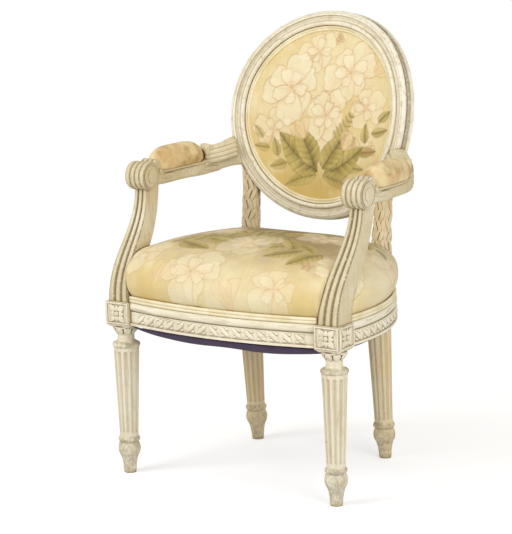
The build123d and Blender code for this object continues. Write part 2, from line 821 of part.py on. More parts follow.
support_dowel_half = Vector(0, 0, support_dowel_reach)
support_dowel_rod = rod(
    Vector(support_dowel) - support_dowel_half, Vector(support_dowel) + support_dowel_half,
    support_dowel_radius,
)
with BuildPart() as support_dowels:
    add(support_dowel_rod)
    add(mirrored(support_dowel_rod))

# Corner blocks, fitted against the rails and legs, and their screws
block_z = rail_bottom + (rail_height - corner_block_height) / 2
screw_z = block_z + corner_block_height / 2


def corner_block(corner, reach_x, reach_y, neighbours):
    """A three-cornered block cut to the pieces around it."""
    with BuildPart() as block:
        with BuildSketch(Plane.XY.offset(block_z)):
            with BuildLine():
                Polyline(corner, (corner[0] + reach_x, corner[1]), (corner[0], corner[1] + reach_y), close=True)
            make_face()
        extrude(amount=corner_block_height)
        for neighbour in neighbours:
            add(neighbour, mode=Mode.SUBTRACT)
    return largest(block.part)


def screw(seat, way):
    """A screw whose head rests on its seat in a corner block."""
    with BuildPart() as piece:
        add(rod(seat - way * screw_head_height, seat, screw_head_radius))
        add(rod(seat, seat + way * (screw_grip + screw_bite), screw_radius))
    return piece.part


def screw_hole(seat, way):
    """The hole and the pocket that take a screw."""
    with BuildPart() as piece:
        add(rod(seat - way * front_block_size, seat, screw_head_radius + fit_gap))
        add(rod(seat, seat + way * (screw_grip + screw_bite + fit_gap), screw_radius + fit_gap))
    return piece.part


def front_inside_y(x):
    """Inner face of the front rail at a place across the chair."""
    return front_centre[1] - sqrt((front_radius - rail_thickness) ** 2 - x**2)


def side_inside_x(y):
    """Inner face of the right side rail at a place along the chair."""
    return side_centre[0] + sqrt((side_radius - rail_thickness) ** 2 - (y - side_centre[1]) ** 2)


front_screw_x = front_rail_end[0] - front_block_size * 0.3
front_screw_y = side_rail_start[1] + front_block_size * 0.3
rear_screw_x = rear_tenon[0] - rear_corner_block_size * 0.1
rear_screw_y = rear_block_front_y - rear_corner_block_size * 0.27
rear_inside_y = rear_face_y - rear_rail_thickness
screw_places = [
    (Vector(front_screw_x, front_inside_y(front_screw_x) + screw_grip, screw_z), Vector(0, -1, 0)),
    (Vector(side_inside_x(front_screw_y) - screw_grip, front_screw_y, screw_z), Vector(1, 0, 0)),
    (Vector(rear_screw_x, rear_inside_y - screw_grip, screw_z), Vector(0, 1, 0)),
    (Vector(side_inside_x(rear_screw_y) - screw_grip, rear_screw_y, screw_z), Vector(1, 0, 0)),
]
screw_holes = [screw_hole(seat, way) for seat, way in screw_places]

front_block_corner = (
    side_inside_x(side_rail_start[1]) + rail_thickness / 3,
    front_rail_end[1] + rail_thickness / 3,
)
rear_block_corner = (
    side_inside_x(seat_middle_y + 30) + rail_thickness / 13,
    rear_inside_y + rear_rail_thickness / 3,
)

with BuildPart() as corner_block_front:
    add(
        corner_block(
            front_block_corner, -front_block_size, front_block_size,
            [front_leg.part, front_rail.part, side_rail.part],
        )
    )
    for hole in screw_holes[:2]:
        add(hole, mode=Mode.SUBTRACT)

with BuildPart() as corner_block_rear:
    add(
        corner_block(
            rear_block_corner, -rear_corner_block_size, -rear_corner_block_size,
            [rear_leg.part, rear_rail.part, side_rail.part],
        )
    )
    for hole in screw_holes[2:]:
        add(hole, mode=Mode.SUBTRACT)

with BuildPart() as drilled_front_rail:
    add(front_rail.part)
    add(screw_holes[0], mode=Mode.SUBTRACT)
    add(mirrored(screw_holes[0]), mode=Mode.SUBTRACT)

with BuildPart() as drilled_side_rail:
    add(side_rail.part)
    add(screw_holes[1], mode=Mode.SUBTRACT)
    add(screw_holes[3], mode=Mode.SUBTRACT)

with BuildPart() as drilled_rear_rail:
    add(rear_rail.part)
    add(screw_holes[2], mode=Mode.SUBTRACT)
    add(mirrored(screw_holes[2]), mode=Mode.SUBTRACT)

with BuildPart() as corner_block_screws:
    for seat, way in screw_places:
        add(screw(seat, way))
        add(mirrored(screw(seat, way)))

# Seat upholstery: forms are lofted through the plan outline of the rails, drawn in at each level


def front_corner(inset):
    """Where the faces of the front and side rails would cross, drawn in by inset."""
    near, far = front_radius - inset, side_radius - inset
    apart = (side_centre[0] - front_centre[0], side_centre[1] - front_centre[1])
    gap = hypot(*apart)
    along = (near**2 - far**2 + gap**2) / (2 * gap)
    aside = sqrt(near**2 - along**2)
    way = (apart[0] / gap, apart[1] / gap)
    return (
        front_centre[0] + way[0] * along - way[1] * aside,
        front_centre[1] + way[1] * along + way[0] * aside,
    )


def seat_outline(inset):
    """Plan of the seat inside the faces of the rails."""
    corner = front_corner(inset)
    reach = side_radius - inset
    rear_y = rear_face_y - inset
    rear_x = side_centre[0] + sqrt(reach**2 - (rear_y - side_centre[1]) ** 2)
    turn = (
        atan2(corner[1] - side_centre[1], corner[0] - side_centre[0])
        + atan2(rear_y - side_centre[1], rear_x - side_centre[0])
    ) / 2
    side = (side_centre[0] + reach * cos(turn), side_centre[1] + reach * sin(turn))
    with BuildSketch() as plan:
        with BuildLine():
            ThreePointArc(
                (-corner[0], corner[1]), (0, front_centre[1] - front_radius + inset), corner
            )
            ThreePointArc(corner, side, (rear_x, rear_y))
            Line((rear_x, rear_y), (-rear_x, rear_y))
            ThreePointArc((-rear_x, rear_y), (-side[0], side[1]), (-corner[0], corner[1]))
        make_face()
        fillet(plan.vertices().group_by(Axis.Y)[0], seat_front_corner)
        fillet(plan.vertices().group_by(Axis.Y)[-1], seat_rear_corner)
    return plan.sketch


def seat_form(levels, base, rise, spare=0):
    """Loft outlines at shares of a rise above a base, each drawn in and shrunk to its level."""
    sections = []
    for share, inset, size in levels:
        with BuildSketch(Plane.XY.offset(base + rise * share)) as section:
            add(seat_outline(inset + spare))
            scale(by=size, about=(0, seat_middle_y, 0))
        sections.append(section.sketch)
    with BuildPart() as form:
        loft(sections)
    return form.part


# Levels: share of the rise, inset from the rail faces in millimetres, and size
cushion_levels = [
    (0, 9, 1), (0.1, 7, 1), (0.17, 1, 1), (0.3, -4, 1), (0.45, -4, 1), (0.6, 8, 1), (0.75, 32, 1),
    (0.87, 32, 0.8), (0.945, 32, 0.55), (0.988, 32, 0.28), (1, 32, 0.08),
]
hessian_levels = [(0, 12, 1), (0.3, 20, 1), (0.75, 48, 1), (0.95, 48, 0.6), (1, 48, 0.15)]
dust_levels = [(0, 9, 1), (0.3, 11, 1), (0.7, 18, 1), (0.93, 34, 1), (1, 60, 1)]

# Room that the cushion leaves for the arm supports, the stiles and the rear blocks
support_cuts = []
for rise, back, width, depth, lean in support_stations:
    lean = radians(lean)
    inside_x = front_leg_x + scroll_out * rise / support_rise - width / 2 - soft_gap
    rear_y = front_leg_y + back + depth / 2 * cos(lean) + soft_gap
    height = rail_top + rise - depth / 2 * sin(lean)
    with BuildSketch(Plane.XY.offset(height)) as cut:
        with Locations((inside_x, rear_y)):
            Rectangle(front_leg_spread, front_leg_spread, align=(Align.MIN, Align.MAX))
    support_cuts.append(cut.sketch)
with BuildPart() as cushion_room:
    loft(support_cuts[:4], ruled=True)
    add(arm_support.part)
    add(stile_form(soft_gap))
    with Locations((rear_leg_x, rear_leg_y, rail_top)):
        Box(
            rear_block_size + 2 * soft_gap, rear_block_size + 2 * soft_gap, 2 * (rear_block_rise + soft_gap)
        )

seat_base = rail_top + soft_gap
with BuildPart() as seat_cover:
    add(seat_form(cushion_levels, seat_base, seat_crown))
    add(seat_form(cushion_levels, seat_base, seat_crown - cover_thickness, cover_thickness), mode=Mode.SUBTRACT)
    add(cushion_room.part, mode=Mode.SUBTRACT)
    add(mirrored(cushion_room.part), mode=Mode.SUBTRACT)

hessian_outside = seat_form(hessian_levels, rail_top, hessian_rise)
inner_gap = cover_thickness + soft_gap
with BuildPart() as seat_stuffing:
    add(seat_form(cushion_levels, seat_base, seat_crown - inner_gap, inner_gap))
    add(seat_form(hessian_levels, rail_top, hessian_rise + soft_gap, -soft_gap), mode=Mode.SUBTRACT)
    add(cushion_room.part, mode=Mode.SUBTRACT)
    add(mirrored(cushion_room.part), mode=Mode.SUBTRACT)

with BuildPart() as seat_hessian:
    add(hessian_outside)
    add(
        seat_form(hessian_levels, rail_top, hessian_rise - hessian_thickness, hessian_thickness),
        mode=Mode.SUBTRACT,
    )
    add(cushion_room.part, mode=Mode.SUBTRACT)
    add(mirrored(cushion_room.part), mode=Mode.SUBTRACT)

# Straps under the rails: the upper layer runs from front to back, the lower one across
web_top = rail_bottom
web_length = front_leg_spread + die_size
with BuildPart() as seat_webbing:
    with Locations((0, seat_middle_y, web_top - web_thickness / 2)):
        with GridLocations(spring_pitch_x, 1, spring_rows, 1):
            Box(web_width, web_length, web_thickness)
    with Locations((0, seat_middle_y, web_top - web_thickness * 1.5)):
        with GridLocations(1, spring_pitch_y, 1, spring_rows):
            Box(web_length, web_width, web_thickness)
    with BuildSketch(Plane.XY.offset(web_top - 2 * web_thickness)):
        add(seat_outline(web_inset))
    extrude(amount=2 * web_thickness, mode=Mode.INTERSECT)

# Coil springs between the webbing and the hessian, drawn in at the waist
spring_foot = web_top + spring_wire + soft_gap
spring_rise = hessian_rise + rail_height - spring_room


def spring_point(turn):
    """A point of the coil's middle line, and the way it runs there."""
    share = turn / spring_turns
    radius = spring_radius - spring_waist * sin(pi * share)
    narrowing = -spring_waist * pi / spring_turns * cos(pi * share)
    angle = 2 * pi * turn + pi / 2
    place = Vector(radius * cos(angle), radius * sin(angle), spring_foot + spring_rise * share)
    way = Vector(
        narrowing * cos(angle) - 2 * pi * radius * sin(angle),
        narrowing * sin(angle) + 2 * pi * radius * cos(angle),
        spring_rise / spring_turns,
    )
    return place, way.normalized()


def biarc(start, start_way, end, end_way):
    """Join two points by two arcs that keep the way the line runs at both."""
    chord = end - start
    both = start_way + end_way
    bend = 2 * (1 - start_way.dot(end_way))
    reach = (sqrt(chord.dot(both) ** 2 + bend * chord.dot(chord)) - chord.dot(both)) / bend
    first, second = start + start_way * reach, end - end_way * reach
    middle = (first + second) * 0.5
    TangentArc(start, middle, tangent=start_way)
    TangentArc(middle, end, tangent=second - first)


with BuildPart() as coil:
    with BuildLine() as coil_line:
        for half in range(2 * spring_turns):
            biarc(*spring_point(half / 2), *spring_point((half + 1) / 2))
    with BuildSketch(Plane(origin=spring_point(0)[0], z_dir=spring_point(0)[1])):
        Circle(spring_wire)
    sweep(path=coil_line.line)

with BuildPart() as seat_springs:
    with Locations((0, seat_middle_y, 0)):
        with GridLocations(spring_pitch_x, spring_pitch_y, spring_rows, spring_rows):
            add(coil.part)

# Double cord round the foot of the cushion, in runs between the supports and the stiles
gimp_base = rail_top + soft_gap


def gimp_outline(face):
    """Section of the double cord, standing against a face at this radius."""
    half = gimp_height / 2
    inside = face - gimp_depth
    groove = inside + gimp_depth / 4
    with BuildLine() as outline:
        for cord in range(2):
            foot = gimp_base + cord * half
            ThreePointArc((groove, foot), (face, foot + half / 2), (groove, foot + half))
        Polyline(
            (groove, gimp_base + gimp_height), (inside, gimp_base + gimp_height),
            (inside, gimp_base), (groove, gimp_base),
        )
    return outline.line


def gimp_run(centre, radius, first, last):
    """A run of the double cord about the centre of a bowed rail."""
    outward = Vector(cos(first), sin(first), 0)
    plane = Plane(origin=(*centre, 0), x_dir=outward, z_dir=outward.cross(Vector(0, 0, 1)))
    with BuildPart() as run:
        with BuildSketch(plane):
            make_face(gimp_outline(radius - gimp_line).edges())
        revolve(axis=Axis((*centre, 0), (0, 0, 1)), revolution_arc=degrees(last - first))
    return run.part


with BuildPart() as rear_gimp_run:
    with BuildSketch(Plane.YZ.offset(-rear_leg_x)):
        make_face(gimp_outline(rear_face_y - gimp_line).edges())
    extrude(amount=rear_leg_spread)

with BuildPart() as seat_gimp:
    add(gimp_run(front_centre, front_radius, *front_angles))
    add(gimp_run(side_centre, side_radius, *side_angles))
    add(mirrored(gimp_run(side_centre, side_radius, *side_angles)))
    add(rear_gimp_run.part)
    add(cushion_room.part, mode=Mode.SUBTRACT)
    add(mirrored(cushion_room.part), mode=Mode.SUBTRACT)
    add(seat_form(cushion_levels, seat_base, seat_crown), mode=Mode.SUBTRACT)

# Dust cover, sagging under the rails
dust_top = rail_bottom - 2 * web_thickness - soft_gap
rear_cut = 2 * (shaft_top_radius + dust_room)
with BuildPart() as dust_cover:
    add(seat_form(dust_levels, dust_top, -dust_sag))
    add(seat_form(dust_levels, dust_top, -dust_sag + dust_thickness, dust_thickness), mode=Mode.SUBTRACT)
    for side in (-1, 1):
        with Locations((side * front_leg_x, front_leg_y, leg_height)):
            Box(die_size + 2 * soft_gap, die_size + 2 * soft_gap, die_height, mode=Mode.SUBTRACT)
        with Locations((side * rear_leg_x, rear_leg_y, leg_height)):
            Box(rear_cut, rear_cut, die_height, mode=Mode.SUBTRACT)

# Back upholstery, between a crowned front and the hollow of the back
back_opening = back_frame_width - back_rebate_width


def back_oval(inset):
    """A prism through the round back, drawn in from its outer edge."""
    turn = (back_half_width - inset) / back_curve
    with BuildPart() as prism:
        with BuildSketch(back_plane):
            Ellipse(back_curve * sin(turn), back_half_height - inset)
        extrude(amount=back_half_width, both=True)
    return prism.part


def hollow_slab(front, thickness):
    """A sheet that follows the hollow back, its front face at a level."""
    plane = Plane(origin=back_origin, x_dir=(1, 0, 0), z_dir=back_up)
    with BuildPart() as slab:
        with BuildSketch(plane):
            with Locations((0, -back_curve)):
                Circle(back_curve - front + thickness)
                Circle(back_curve - front, mode=Mode.SUBTRACT)
            Rectangle(
                2 * back_half_width, 2 * back_half_width, align=(Align.CENTER, Align.CENTER), mode=Mode.INTERSECT
            )
        extrude(amount=back_half_height, both=True)
    return slab.part


def crowned_block(level, crown, inset):
    """Everything behind the crowned face of the back's padding, whose edge lies at a level."""
    half_width, half_height = back_half_width - inset, back_half_height - inset
    hollow = 1 / (1 / back_curve - 2 * crown / half_width**2)
    reach = half_height + inset
    drop = crown * (reach / half_height) ** 2
    plane = Plane(origin=back_origin, x_dir=back_forward, z_dir=(-1, 0, 0))
    with BuildPart() as block:
        with BuildSketch(plane):
            with BuildLine():
                ThreePointArc(
                    (level + crown - drop, -reach), (level + crown, 0), (level + crown - drop, reach)
                )
                Polyline(
                    (level + crown - drop, reach), (-back_half_width, reach),
                    (-back_half_width, -reach), (level + crown - drop, -reach),
                )
            make_face()
        revolve(
            axis=Axis(back_origin + back_forward * (level + crown + hollow), back_up),
            revolution_arc=degrees(1.2 * back_half_width / hollow),
        )
        mirror(about=Plane.YZ)
    return block.part


pad_inset = back_opening + pad_room
web_level = back_fit - back_rebate_depth + web_thickness
hessian_level = web_level + web_thickness + hessian_thickness
cover_oval = back_oval(pad_inset)
back_face = crowned_block(back_edge_level, back_crown, pad_inset)
back_filling = crowned_block(back_edge_level - cover_thickness, back_crown, pad_inset)

with BuildPart() as back_webbing:
    for level, across in ((web_level, True), (web_level + web_thickness, False)):
        with BuildPart(mode=Mode.PRIVATE) as straps:
            with BuildSketch(back_plane):
                with GridLocations(web_pitch, web_pitch, 1 if across else 3, 3 if across else 1):
                    if across:
                        Rectangle(2 * back_half_width, web_width)
                    else:
                        Rectangle(web_width, 2 * back_half_height)
            extrude(amount=back_half_width, both=True)
            add(hollow_slab(level, web_thickness), mode=Mode.INTERSECT)
            add(back_oval(pad_inset + pad_room), mode=Mode.INTERSECT)
        add(straps.part)

with BuildPart() as back_hessian:
    add(hollow_slab(hessian_level, hessian_thickness))
    add(back_oval(pad_inset + pad_room / 2), mode=Mode.INTERSECT)

with BuildPart() as back_stuffing:
    add(back_filling)
    add(cover_oval, mode=Mode.INTERSECT)
    add(hollow_slab(hessian_level, 2 * back_half_width), mode=Mode.SUBTRACT)

with BuildPart() as back_cover:
    add(back_face)
    add(cover_oval, mode=Mode.INTERSECT)
    add(back_filling, mode=Mode.SUBTRACT)
    add(hollow_slab(hessian_level, 2 * back_half_width), mode=Mode.SUBTRACT)

with BuildPart() as outside_back:
    add(hollow_slab(back_rear_rebate_depth - back_frame_depth - back_fit, cover_thickness))
    add(back_oval(back_frame_width - back_rear_rebate_width + rear_cloth_room), mode=Mode.INTERSECT)

with BuildLine() as back_gimp_outline:
    gimp_out = -back_opening - soft_gap
    gimp_foot = back_edge_level + soft_gap
    for cord in range(2):
        start = gimp_out - cord * back_gimp_width / 2
        ThreePointArc(
            (start, gimp_foot), (start - back_gimp_width / 4, gimp_foot + back_gimp_rise),
            (start - back_gimp_width / 2, gimp_foot),
        )
    Line((gimp_out - back_gimp_width, gimp_foot), (gimp_out, gimp_foot))

with BuildPart() as back_cord:
    add(ring_run(back_gimp_outline.line, 0, 180))
    add(ring_run(back_gimp_outline.line, 180, 360))
    add(back_face, mode=Mode.SUBTRACT)

with BuildPart() as back_gimp:
    add(largest(back_cord.part))

with BuildLine() as rear_gimp_outline:
    rear_out = back_rear_rebate_width - back_frame_width - soft_gap
    rear_level = back_rear_rebate_depth - back_frame_depth - cover_thickness - back_fit - soft_gap
    ThreePointArc(
        (rear_out, rear_level), (rear_out - rear_gimp_width / 2, rear_level - rear_gimp_rise),
        (rear_out - rear_gimp_width, rear_level),
    )
    Line((rear_out - rear_gimp_width, rear_level), (rear_out, rear_level))

with BuildPart() as outside_back_gimp:
    add(ring_run(rear_gimp_outline.line, 0, 180))
    add(ring_run(rear_gimp_outline.line, 180, 360))

# Arm pads, crowned and drawn in at both ends: share of the length, of the width and of the height
pad_stations = [
    (0, 0.3, 0.35), (0.07, 0.7, 0.72), (0.2, 0.95, 0.95), (0.5, 1, 1),
    (0.8, 0.95, 0.95), (0.93, 0.7, 0.72), (1, 0.3, 0.35),
]
with BuildLine() as arm_path:
    Spline(*arm_line)
arm_curve = arm_path.line.edges()[0]
pad_start = pad_front_back - (arm_line[0].Y - front_leg_y)
pad_sections = []
for share, wide, tall in pad_stations:
    along = (pad_start + share * pad_length) / arm_curve.length
    place, way = arm_curve.position_at(along), arm_curve.tangent_at(along)
    way = Vector(way.X, way.Y, 0).normalized()
    width, height = pad_width * wide, pad_height * tall
    plane = Plane(
        origin=(place.X, place.Y, arm_seat_z), x_dir=way.cross(Vector(0, 0, 1)), z_dir=way * -1
    )
    with BuildSketch(plane) as section:
        with BuildLine():
            Line((-0.42 * width, 0), (0.42 * width, 0))
            ThreePointArc((0.42 * width, 0), (0.5 * width, 0.36 * height), (0.38 * width, 0.74 * height))
            ThreePointArc((0.38 * width, 0.74 * height), (0, height), (-0.38 * width, 0.74 * height))
            ThreePointArc((-0.38 * width, 0.74 * height), (-0.5 * width, 0.36 * height), (-0.42 * width, 0))
        make_face()
    pad_sections.append(section.sketch)

with BuildPart() as arm_pad:
    loft(pad_sections)
    add(arm.part, mode=Mode.SUBTRACT)

save(drilled_front_rail.part, "front_rail")
save(drilled_rear_rail.part, "rear_rail")
save_pair(drilled_side_rail.part, "side_rail")
save_pair(front_leg.part, "front_leg")
save_pair(rear_leg.part, "rear_leg")
save_pair(corner_block_front.part, "corner_block_front")
save_pair(corner_block_rear.part, "corner_block_rear")
save(corner_block_screws.part, "corner_block_screws")
save_pair(arm.part, "arm")
save_pair(arm_support.part, "arm_support")
save_pair(arm_pad.part, "arm_pad")
save_pair(back_frame_right.part, "back_frame")
save(back_frame_top.part, "back_frame_top")
save(back_frame_bottom.part, "back_frame_bottom")
save(back_frame_dowels.part, "back_frame_dowels")
save(stile_dowels.part, "stile_dowels")
save(arm_dowels.part, "arm_dowels")
save(support_dowels.part, "support_dowels")
save(seat_webbing.part, "seat_webbing")
save(seat_springs.part, "seat_springs")
save(seat_hessian.part, "seat_hessian")
save(seat_stuffing.part, "seat_stuffing")
save(seat_cover.part, "seat_cover")
save(seat_gimp.part, "seat_gimp")
save(dust_cover.part, "dust_cover")
save(back_webbing.part, "back_webbing")
save(back_hessian.part, "back_hessian")
save(back_stuffing.part, "back_stuffing")
save(back_cover.part, "back_cover")
save(back_gimp.part, "back_gimp")
save(outside_back.part, "outside_back")
save(outside_back_gimp.part, "outside_back_gimp")
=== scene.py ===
import json
import math

import bpy
import numpy as np
from mathutils import Matrix, Vector
from mathutils.bvhtree import BVHTree


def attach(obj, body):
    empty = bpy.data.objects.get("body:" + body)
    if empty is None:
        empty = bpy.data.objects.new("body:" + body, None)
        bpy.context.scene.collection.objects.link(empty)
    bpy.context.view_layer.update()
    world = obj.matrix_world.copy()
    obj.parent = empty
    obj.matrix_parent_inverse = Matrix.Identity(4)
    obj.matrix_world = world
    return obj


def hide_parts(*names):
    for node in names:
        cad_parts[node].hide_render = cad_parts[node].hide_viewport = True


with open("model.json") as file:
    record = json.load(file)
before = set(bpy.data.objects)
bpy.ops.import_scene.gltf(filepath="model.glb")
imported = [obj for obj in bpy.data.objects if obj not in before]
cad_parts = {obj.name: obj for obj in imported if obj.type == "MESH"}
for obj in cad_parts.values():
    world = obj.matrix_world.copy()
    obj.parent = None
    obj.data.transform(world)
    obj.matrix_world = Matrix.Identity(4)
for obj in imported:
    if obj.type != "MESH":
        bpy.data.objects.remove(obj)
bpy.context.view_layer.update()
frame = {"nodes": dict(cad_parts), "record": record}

nodes = frame["nodes"]
scene = bpy.context.scene
mm = 0.001

# Places of the chair's frame, in metres
front_leg_x, front_leg_y = 0.246, -0.2008
rear_leg_x, rear_leg_y = 0.157, 0.1212
rear_leg_kick = 0.022
front_shaft_top, rear_shaft_top = 0.264, 0.305
die_half = 0.028
die_low, die_high = 0.307, 0.360
rail_top = 0.360
band_low, band_high = 0.319, 0.342
band_depth = 0.003
front_centre, front_radius = Vector((0, 0.6418, 0)), 0.8936
side_centre, side_radius = Vector((-0.1326, -0.1140, 0)), 0.4069
side_first, side_last = math.radians(-8.3), math.radians(39.55)
scroll_centre = Vector((0.254, -0.1168, 0.600))
scroll_half = 0.023
back_centre = Vector((0, 0.1822, 0.701))
back_rake = math.radians(12)
back_curve = 0.514
back_half_width, back_half_height = 0.212, 0.216
back_frame_width = 0.045
back_pad_width, back_pad_height = 0.1785, 0.1825
seat_crown_z = 0.4893
seat_middle_y = -0.0498

back_forward = Vector((0, -math.cos(back_rake), math.sin(back_rake)))
back_up = Vector((0, math.sin(back_rake), math.cos(back_rake)))
across_chair = Vector((1, 0, 0))
upward = Vector((0, 0, 1))
to_the_left = Matrix.Scale(-1, 4, (1, 0, 0))


# Small tools


def clear_selection():
    """Object mode with nothing selected."""
    if bpy.context.object and bpy.context.object.mode != "OBJECT":
        bpy.ops.object.mode_set(mode="OBJECT")
    bpy.ops.object.select_all(action="DESELECT")


def take_up(piece):
    """Select one piece alone and make it the active one."""
    clear_selection()
    piece.select_set(True)
    bpy.context.view_layer.objects.active = piece


def get_points(piece, kept="co"):
    """The places of a piece's points, or another triple kept on them, one row each."""
    flat = np.empty(len(piece.data.vertices) * 3)
    piece.data.vertices.foreach_get(kept, flat)
    return flat.reshape(-1, 3)


def set_points(piece, places):
    """Move a piece's points to these places."""
    piece.data.vertices.foreach_set("co", np.ascontiguousarray(places, dtype=float).ravel())
    piece.data.update()


def apply_modifiers(piece):
    """Apply all of a piece's modifiers, in order."""
    take_up(piece)
    for modifier in list(piece.modifiers):
        bpy.ops.object.modifier_apply(modifier=modifier.name)


def outward(piece):
    """Merge a piece's doubles and turn its faces outwards."""
    take_up(piece)
    bpy.ops.object.mode_set(mode="EDIT")
    bpy.ops.mesh.select_all(action="SELECT")
    bpy.ops.mesh.remove_doubles(threshold=1e-6)
    bpy.ops.mesh.normals_make_consistent(inside=False)
    bpy.ops.object.mode_set(mode="OBJECT")


def smooth(piece, angle=None):
    """Shade a piece smoothly, up to an angle in degrees where one is given."""
    take_up(piece)
    if angle is None:
        bpy.ops.object.shade_smooth()
    else:
        bpy.ops.object.shade_smooth_by_angle(angle=math.radians(angle))


def standing(origin, along, out):
    """The place of a carved shape that grows along one way and stands out along another."""
    out = Vector(out).normalized()
    along = (Vector(along) - out * Vector(along).dot(out)).normalized()
    side = along.cross(out)
    turn = Matrix((side, along, out)).transposed().to_4x4()
    return Matrix.Translation(Vector(origin)) @ turn


def copies(pattern, places, name):
    """Copies of a modelled shape, each with its own mesh, set in their places and joined."""
    pieces = []
    for place in places:
        copy = bpy.data.objects.new(name, pattern.data.copy())
        copy.data.transform(place)
        if place.determinant() < 0:
            copy.data.flip_normals()
        scene.collection.objects.link(copy)
        pieces.append(copy)
    return joined(pieces, name)


def joined(pieces, name):
    """Several pieces made into one."""
    clear_selection()
    for piece in pieces:
        piece.select_set(True)
    bpy.context.view_layer.objects.active = pieces[0]
    if len(pieces) > 1:
        bpy.ops.object.join()
    whole = bpy.context.view_layer.objects.active
    whole.name = name
    return whole


def put_away(*patterns):
    """Remove the shapes that were only there to be copied."""
    for pattern in patterns:
        bpy.data.objects.remove(pattern)


def on_both_sides(places):
    """Places on the right of the chair, and the same on its left."""
    return places + [to_the_left @ place for place in places]


def mirrored(right, name):
    """A piece on the right of the chair joined with its mirror image on the left."""
    left = copies(right, [to_the_left], name)
    return joined([right, left], name)


def linear(red, green, blue):
    """A colour as it is seen on a screen, from 0 to 255, made linear."""
    share = np.array([red, green, blue]) / 255
    return np.where(share <= 0.04045, share / 12.92, ((share + 0.055) / 1.055) ** 2.4)


def surface_of(*names):
    """The merged surfaces of some CAD pieces, for finding the nearest wood."""
    corners, faces = [], []
    for name in names:
        mesh = nodes[name].data
        base = len(corners)
        corners.extend(vertex.co.copy() for vertex in mesh.vertices)
        faces.extend(tuple(base + index for index in face.vertices) for face in mesh.polygons)
    return BVHTree.FromPolygons(corners, faces)


def back_place(along, up, level):
    """A place on the hollow back: along its curve, up it and forward of its face."""
    turn = along / back_curve
    reach = back_curve - level
    forward = back_curve - reach * math.cos(turn)
    return back_centre + across_chair * (reach * math.sin(turn)) + back_up * up + back_forward * forward


def ring_place(angle, inset, level):
    """A place on the round frame, inside its outer edge and forward of its face."""
    half = back_frame_width / 2
    out = Vector((back_half_height * math.cos(angle), back_half_width * math.sin(angle))).normalized()
    along = back_half_width * math.cos(angle) - half * out.x
    up = back_half_height * math.sin(angle) - half * out.y
    turn = along / back_curve
    ahead = across_chair * -math.sin(turn) + back_forward * math.cos(turn)
    aside = across_chair * (math.cos(turn) * out.x) + back_up * out.y
    aside = aside + back_forward * (math.sin(turn) * out.x)
    return back_place(along, up, 0) + aside * (half - inset) + ahead * level


# Carved ornament


def carved_leaf(length, width, rise, fullness=0.75, groove=0.4):
    """A leaf in relief that grows along Y and stands up along Z, with a groove down its middle."""
    clear_selection()
    bpy.ops.mesh.primitive_uv_sphere_add(segments=16, ring_count=12, radius=1)
    leaf = bpy.context.object
    leaf.data.transform(Matrix.Rotation(math.pi / 2, 4, "X"))
    places = get_points(leaf)
    along = (places[:, 1] + 1) / 2
    ring = np.sqrt(np.maximum(1 - places[:, 1] ** 2, 1e-9))
    across, up = places[:, 0] / ring, places[:, 2] / ring
    half = np.sin(np.pi * np.clip(along, 0, 1) ** fullness) ** 0.8
    valley = np.where(up > 0, 1 - groove * np.exp(-((across * 2.4) ** 2)), 1)
    shaped = np.stack([across * half * width / 2, along * length, up * half * rise * valley], axis=1)
    set_points(leaf, shaped)
    smooth(leaf)
    return leaf


def carved_boss(radius, rise):
    """A low round knob with a dimple, standing up along Z."""
    clear_selection()
    bpy.ops.mesh.primitive_uv_sphere_add(segments=20, ring_count=12, radius=1)
    boss = bpy.context.object
    places = get_points(boss)
    away = np.hypot(places[:, 0], places[:, 1])
    top = np.where(places[:, 2] > 0, 1 - 0.45 * np.exp(-((away * 3) ** 2)), 1)
    set_points(boss, places * np.stack([radius + 0 * top, radius + 0 * top, rise * top], axis=1))
    smooth(boss)
    return boss


def panel_border(width, height, border, rise):
    """A raised, rounded border round a carved panel."""
    clear_selection()
    bpy.ops.mesh.primitive_plane_add(size=1)
    rim = bpy.context.object
    rim.data.transform(Matrix.Diagonal((width, height, 1, 1)))
    bpy.ops.object.mode_set(mode="EDIT")
    bpy.ops.mesh.select_all(action="SELECT")
    bpy.ops.mesh.inset(thickness=border)
    bpy.ops.mesh.delete(type="FACE")
    bpy.ops.object.mode_set(mode="OBJECT")
    wall = rim.modifiers.new("wall", "SOLIDIFY")
    wall.thickness = 2 * rise
    wall.offset = 0
    edge = rim.modifiers.new("edge", "BEVEL")
    edge.width = border * 0.42
    edge.segments = 3
    apply_modifiers(rim)
    smooth(rim, 40)
    return rim


def scroll_disc(radius):
    """The turned disc on the end of a scroll, with a rim, facing along Z."""
    clear_selection()
    bpy.ops.mesh.primitive_circle_add(vertices=48, radius=radius, fill_type="NGON")
    disc = bpy.context.object
    bpy.ops.object.mode_set(mode="EDIT")
    bpy.ops.mesh.select_all(action="SELECT")
    bpy.ops.mesh.extrude_region_move(TRANSFORM_OT_translate={"value": (0, 0, 2.2 * mm)})
    bpy.ops.mesh.inset(thickness=2.6 * mm)
    bpy.ops.mesh.extrude_region_move(TRANSFORM_OT_translate={"value": (0, 0, -1.4 * mm)})
    bpy.ops.mesh.inset(thickness=radius * 0.34)
    bpy.ops.mesh.extrude_region_move(TRANSFORM_OT_translate={"value": (0, 0, 1.2 * mm)})
    bpy.ops.mesh.inset(thickness=2 * mm)
    bpy.ops.object.mode_set(mode="OBJECT")
    edge = disc.modifiers.new("edge", "BEVEL")
    edge.width = 0.7 * mm
    edge.segments = 2
    edge.limit_method = "ANGLE"
    apply_modifiers(disc)
    outward(disc)
    smooth(disc, 45)
    return disc


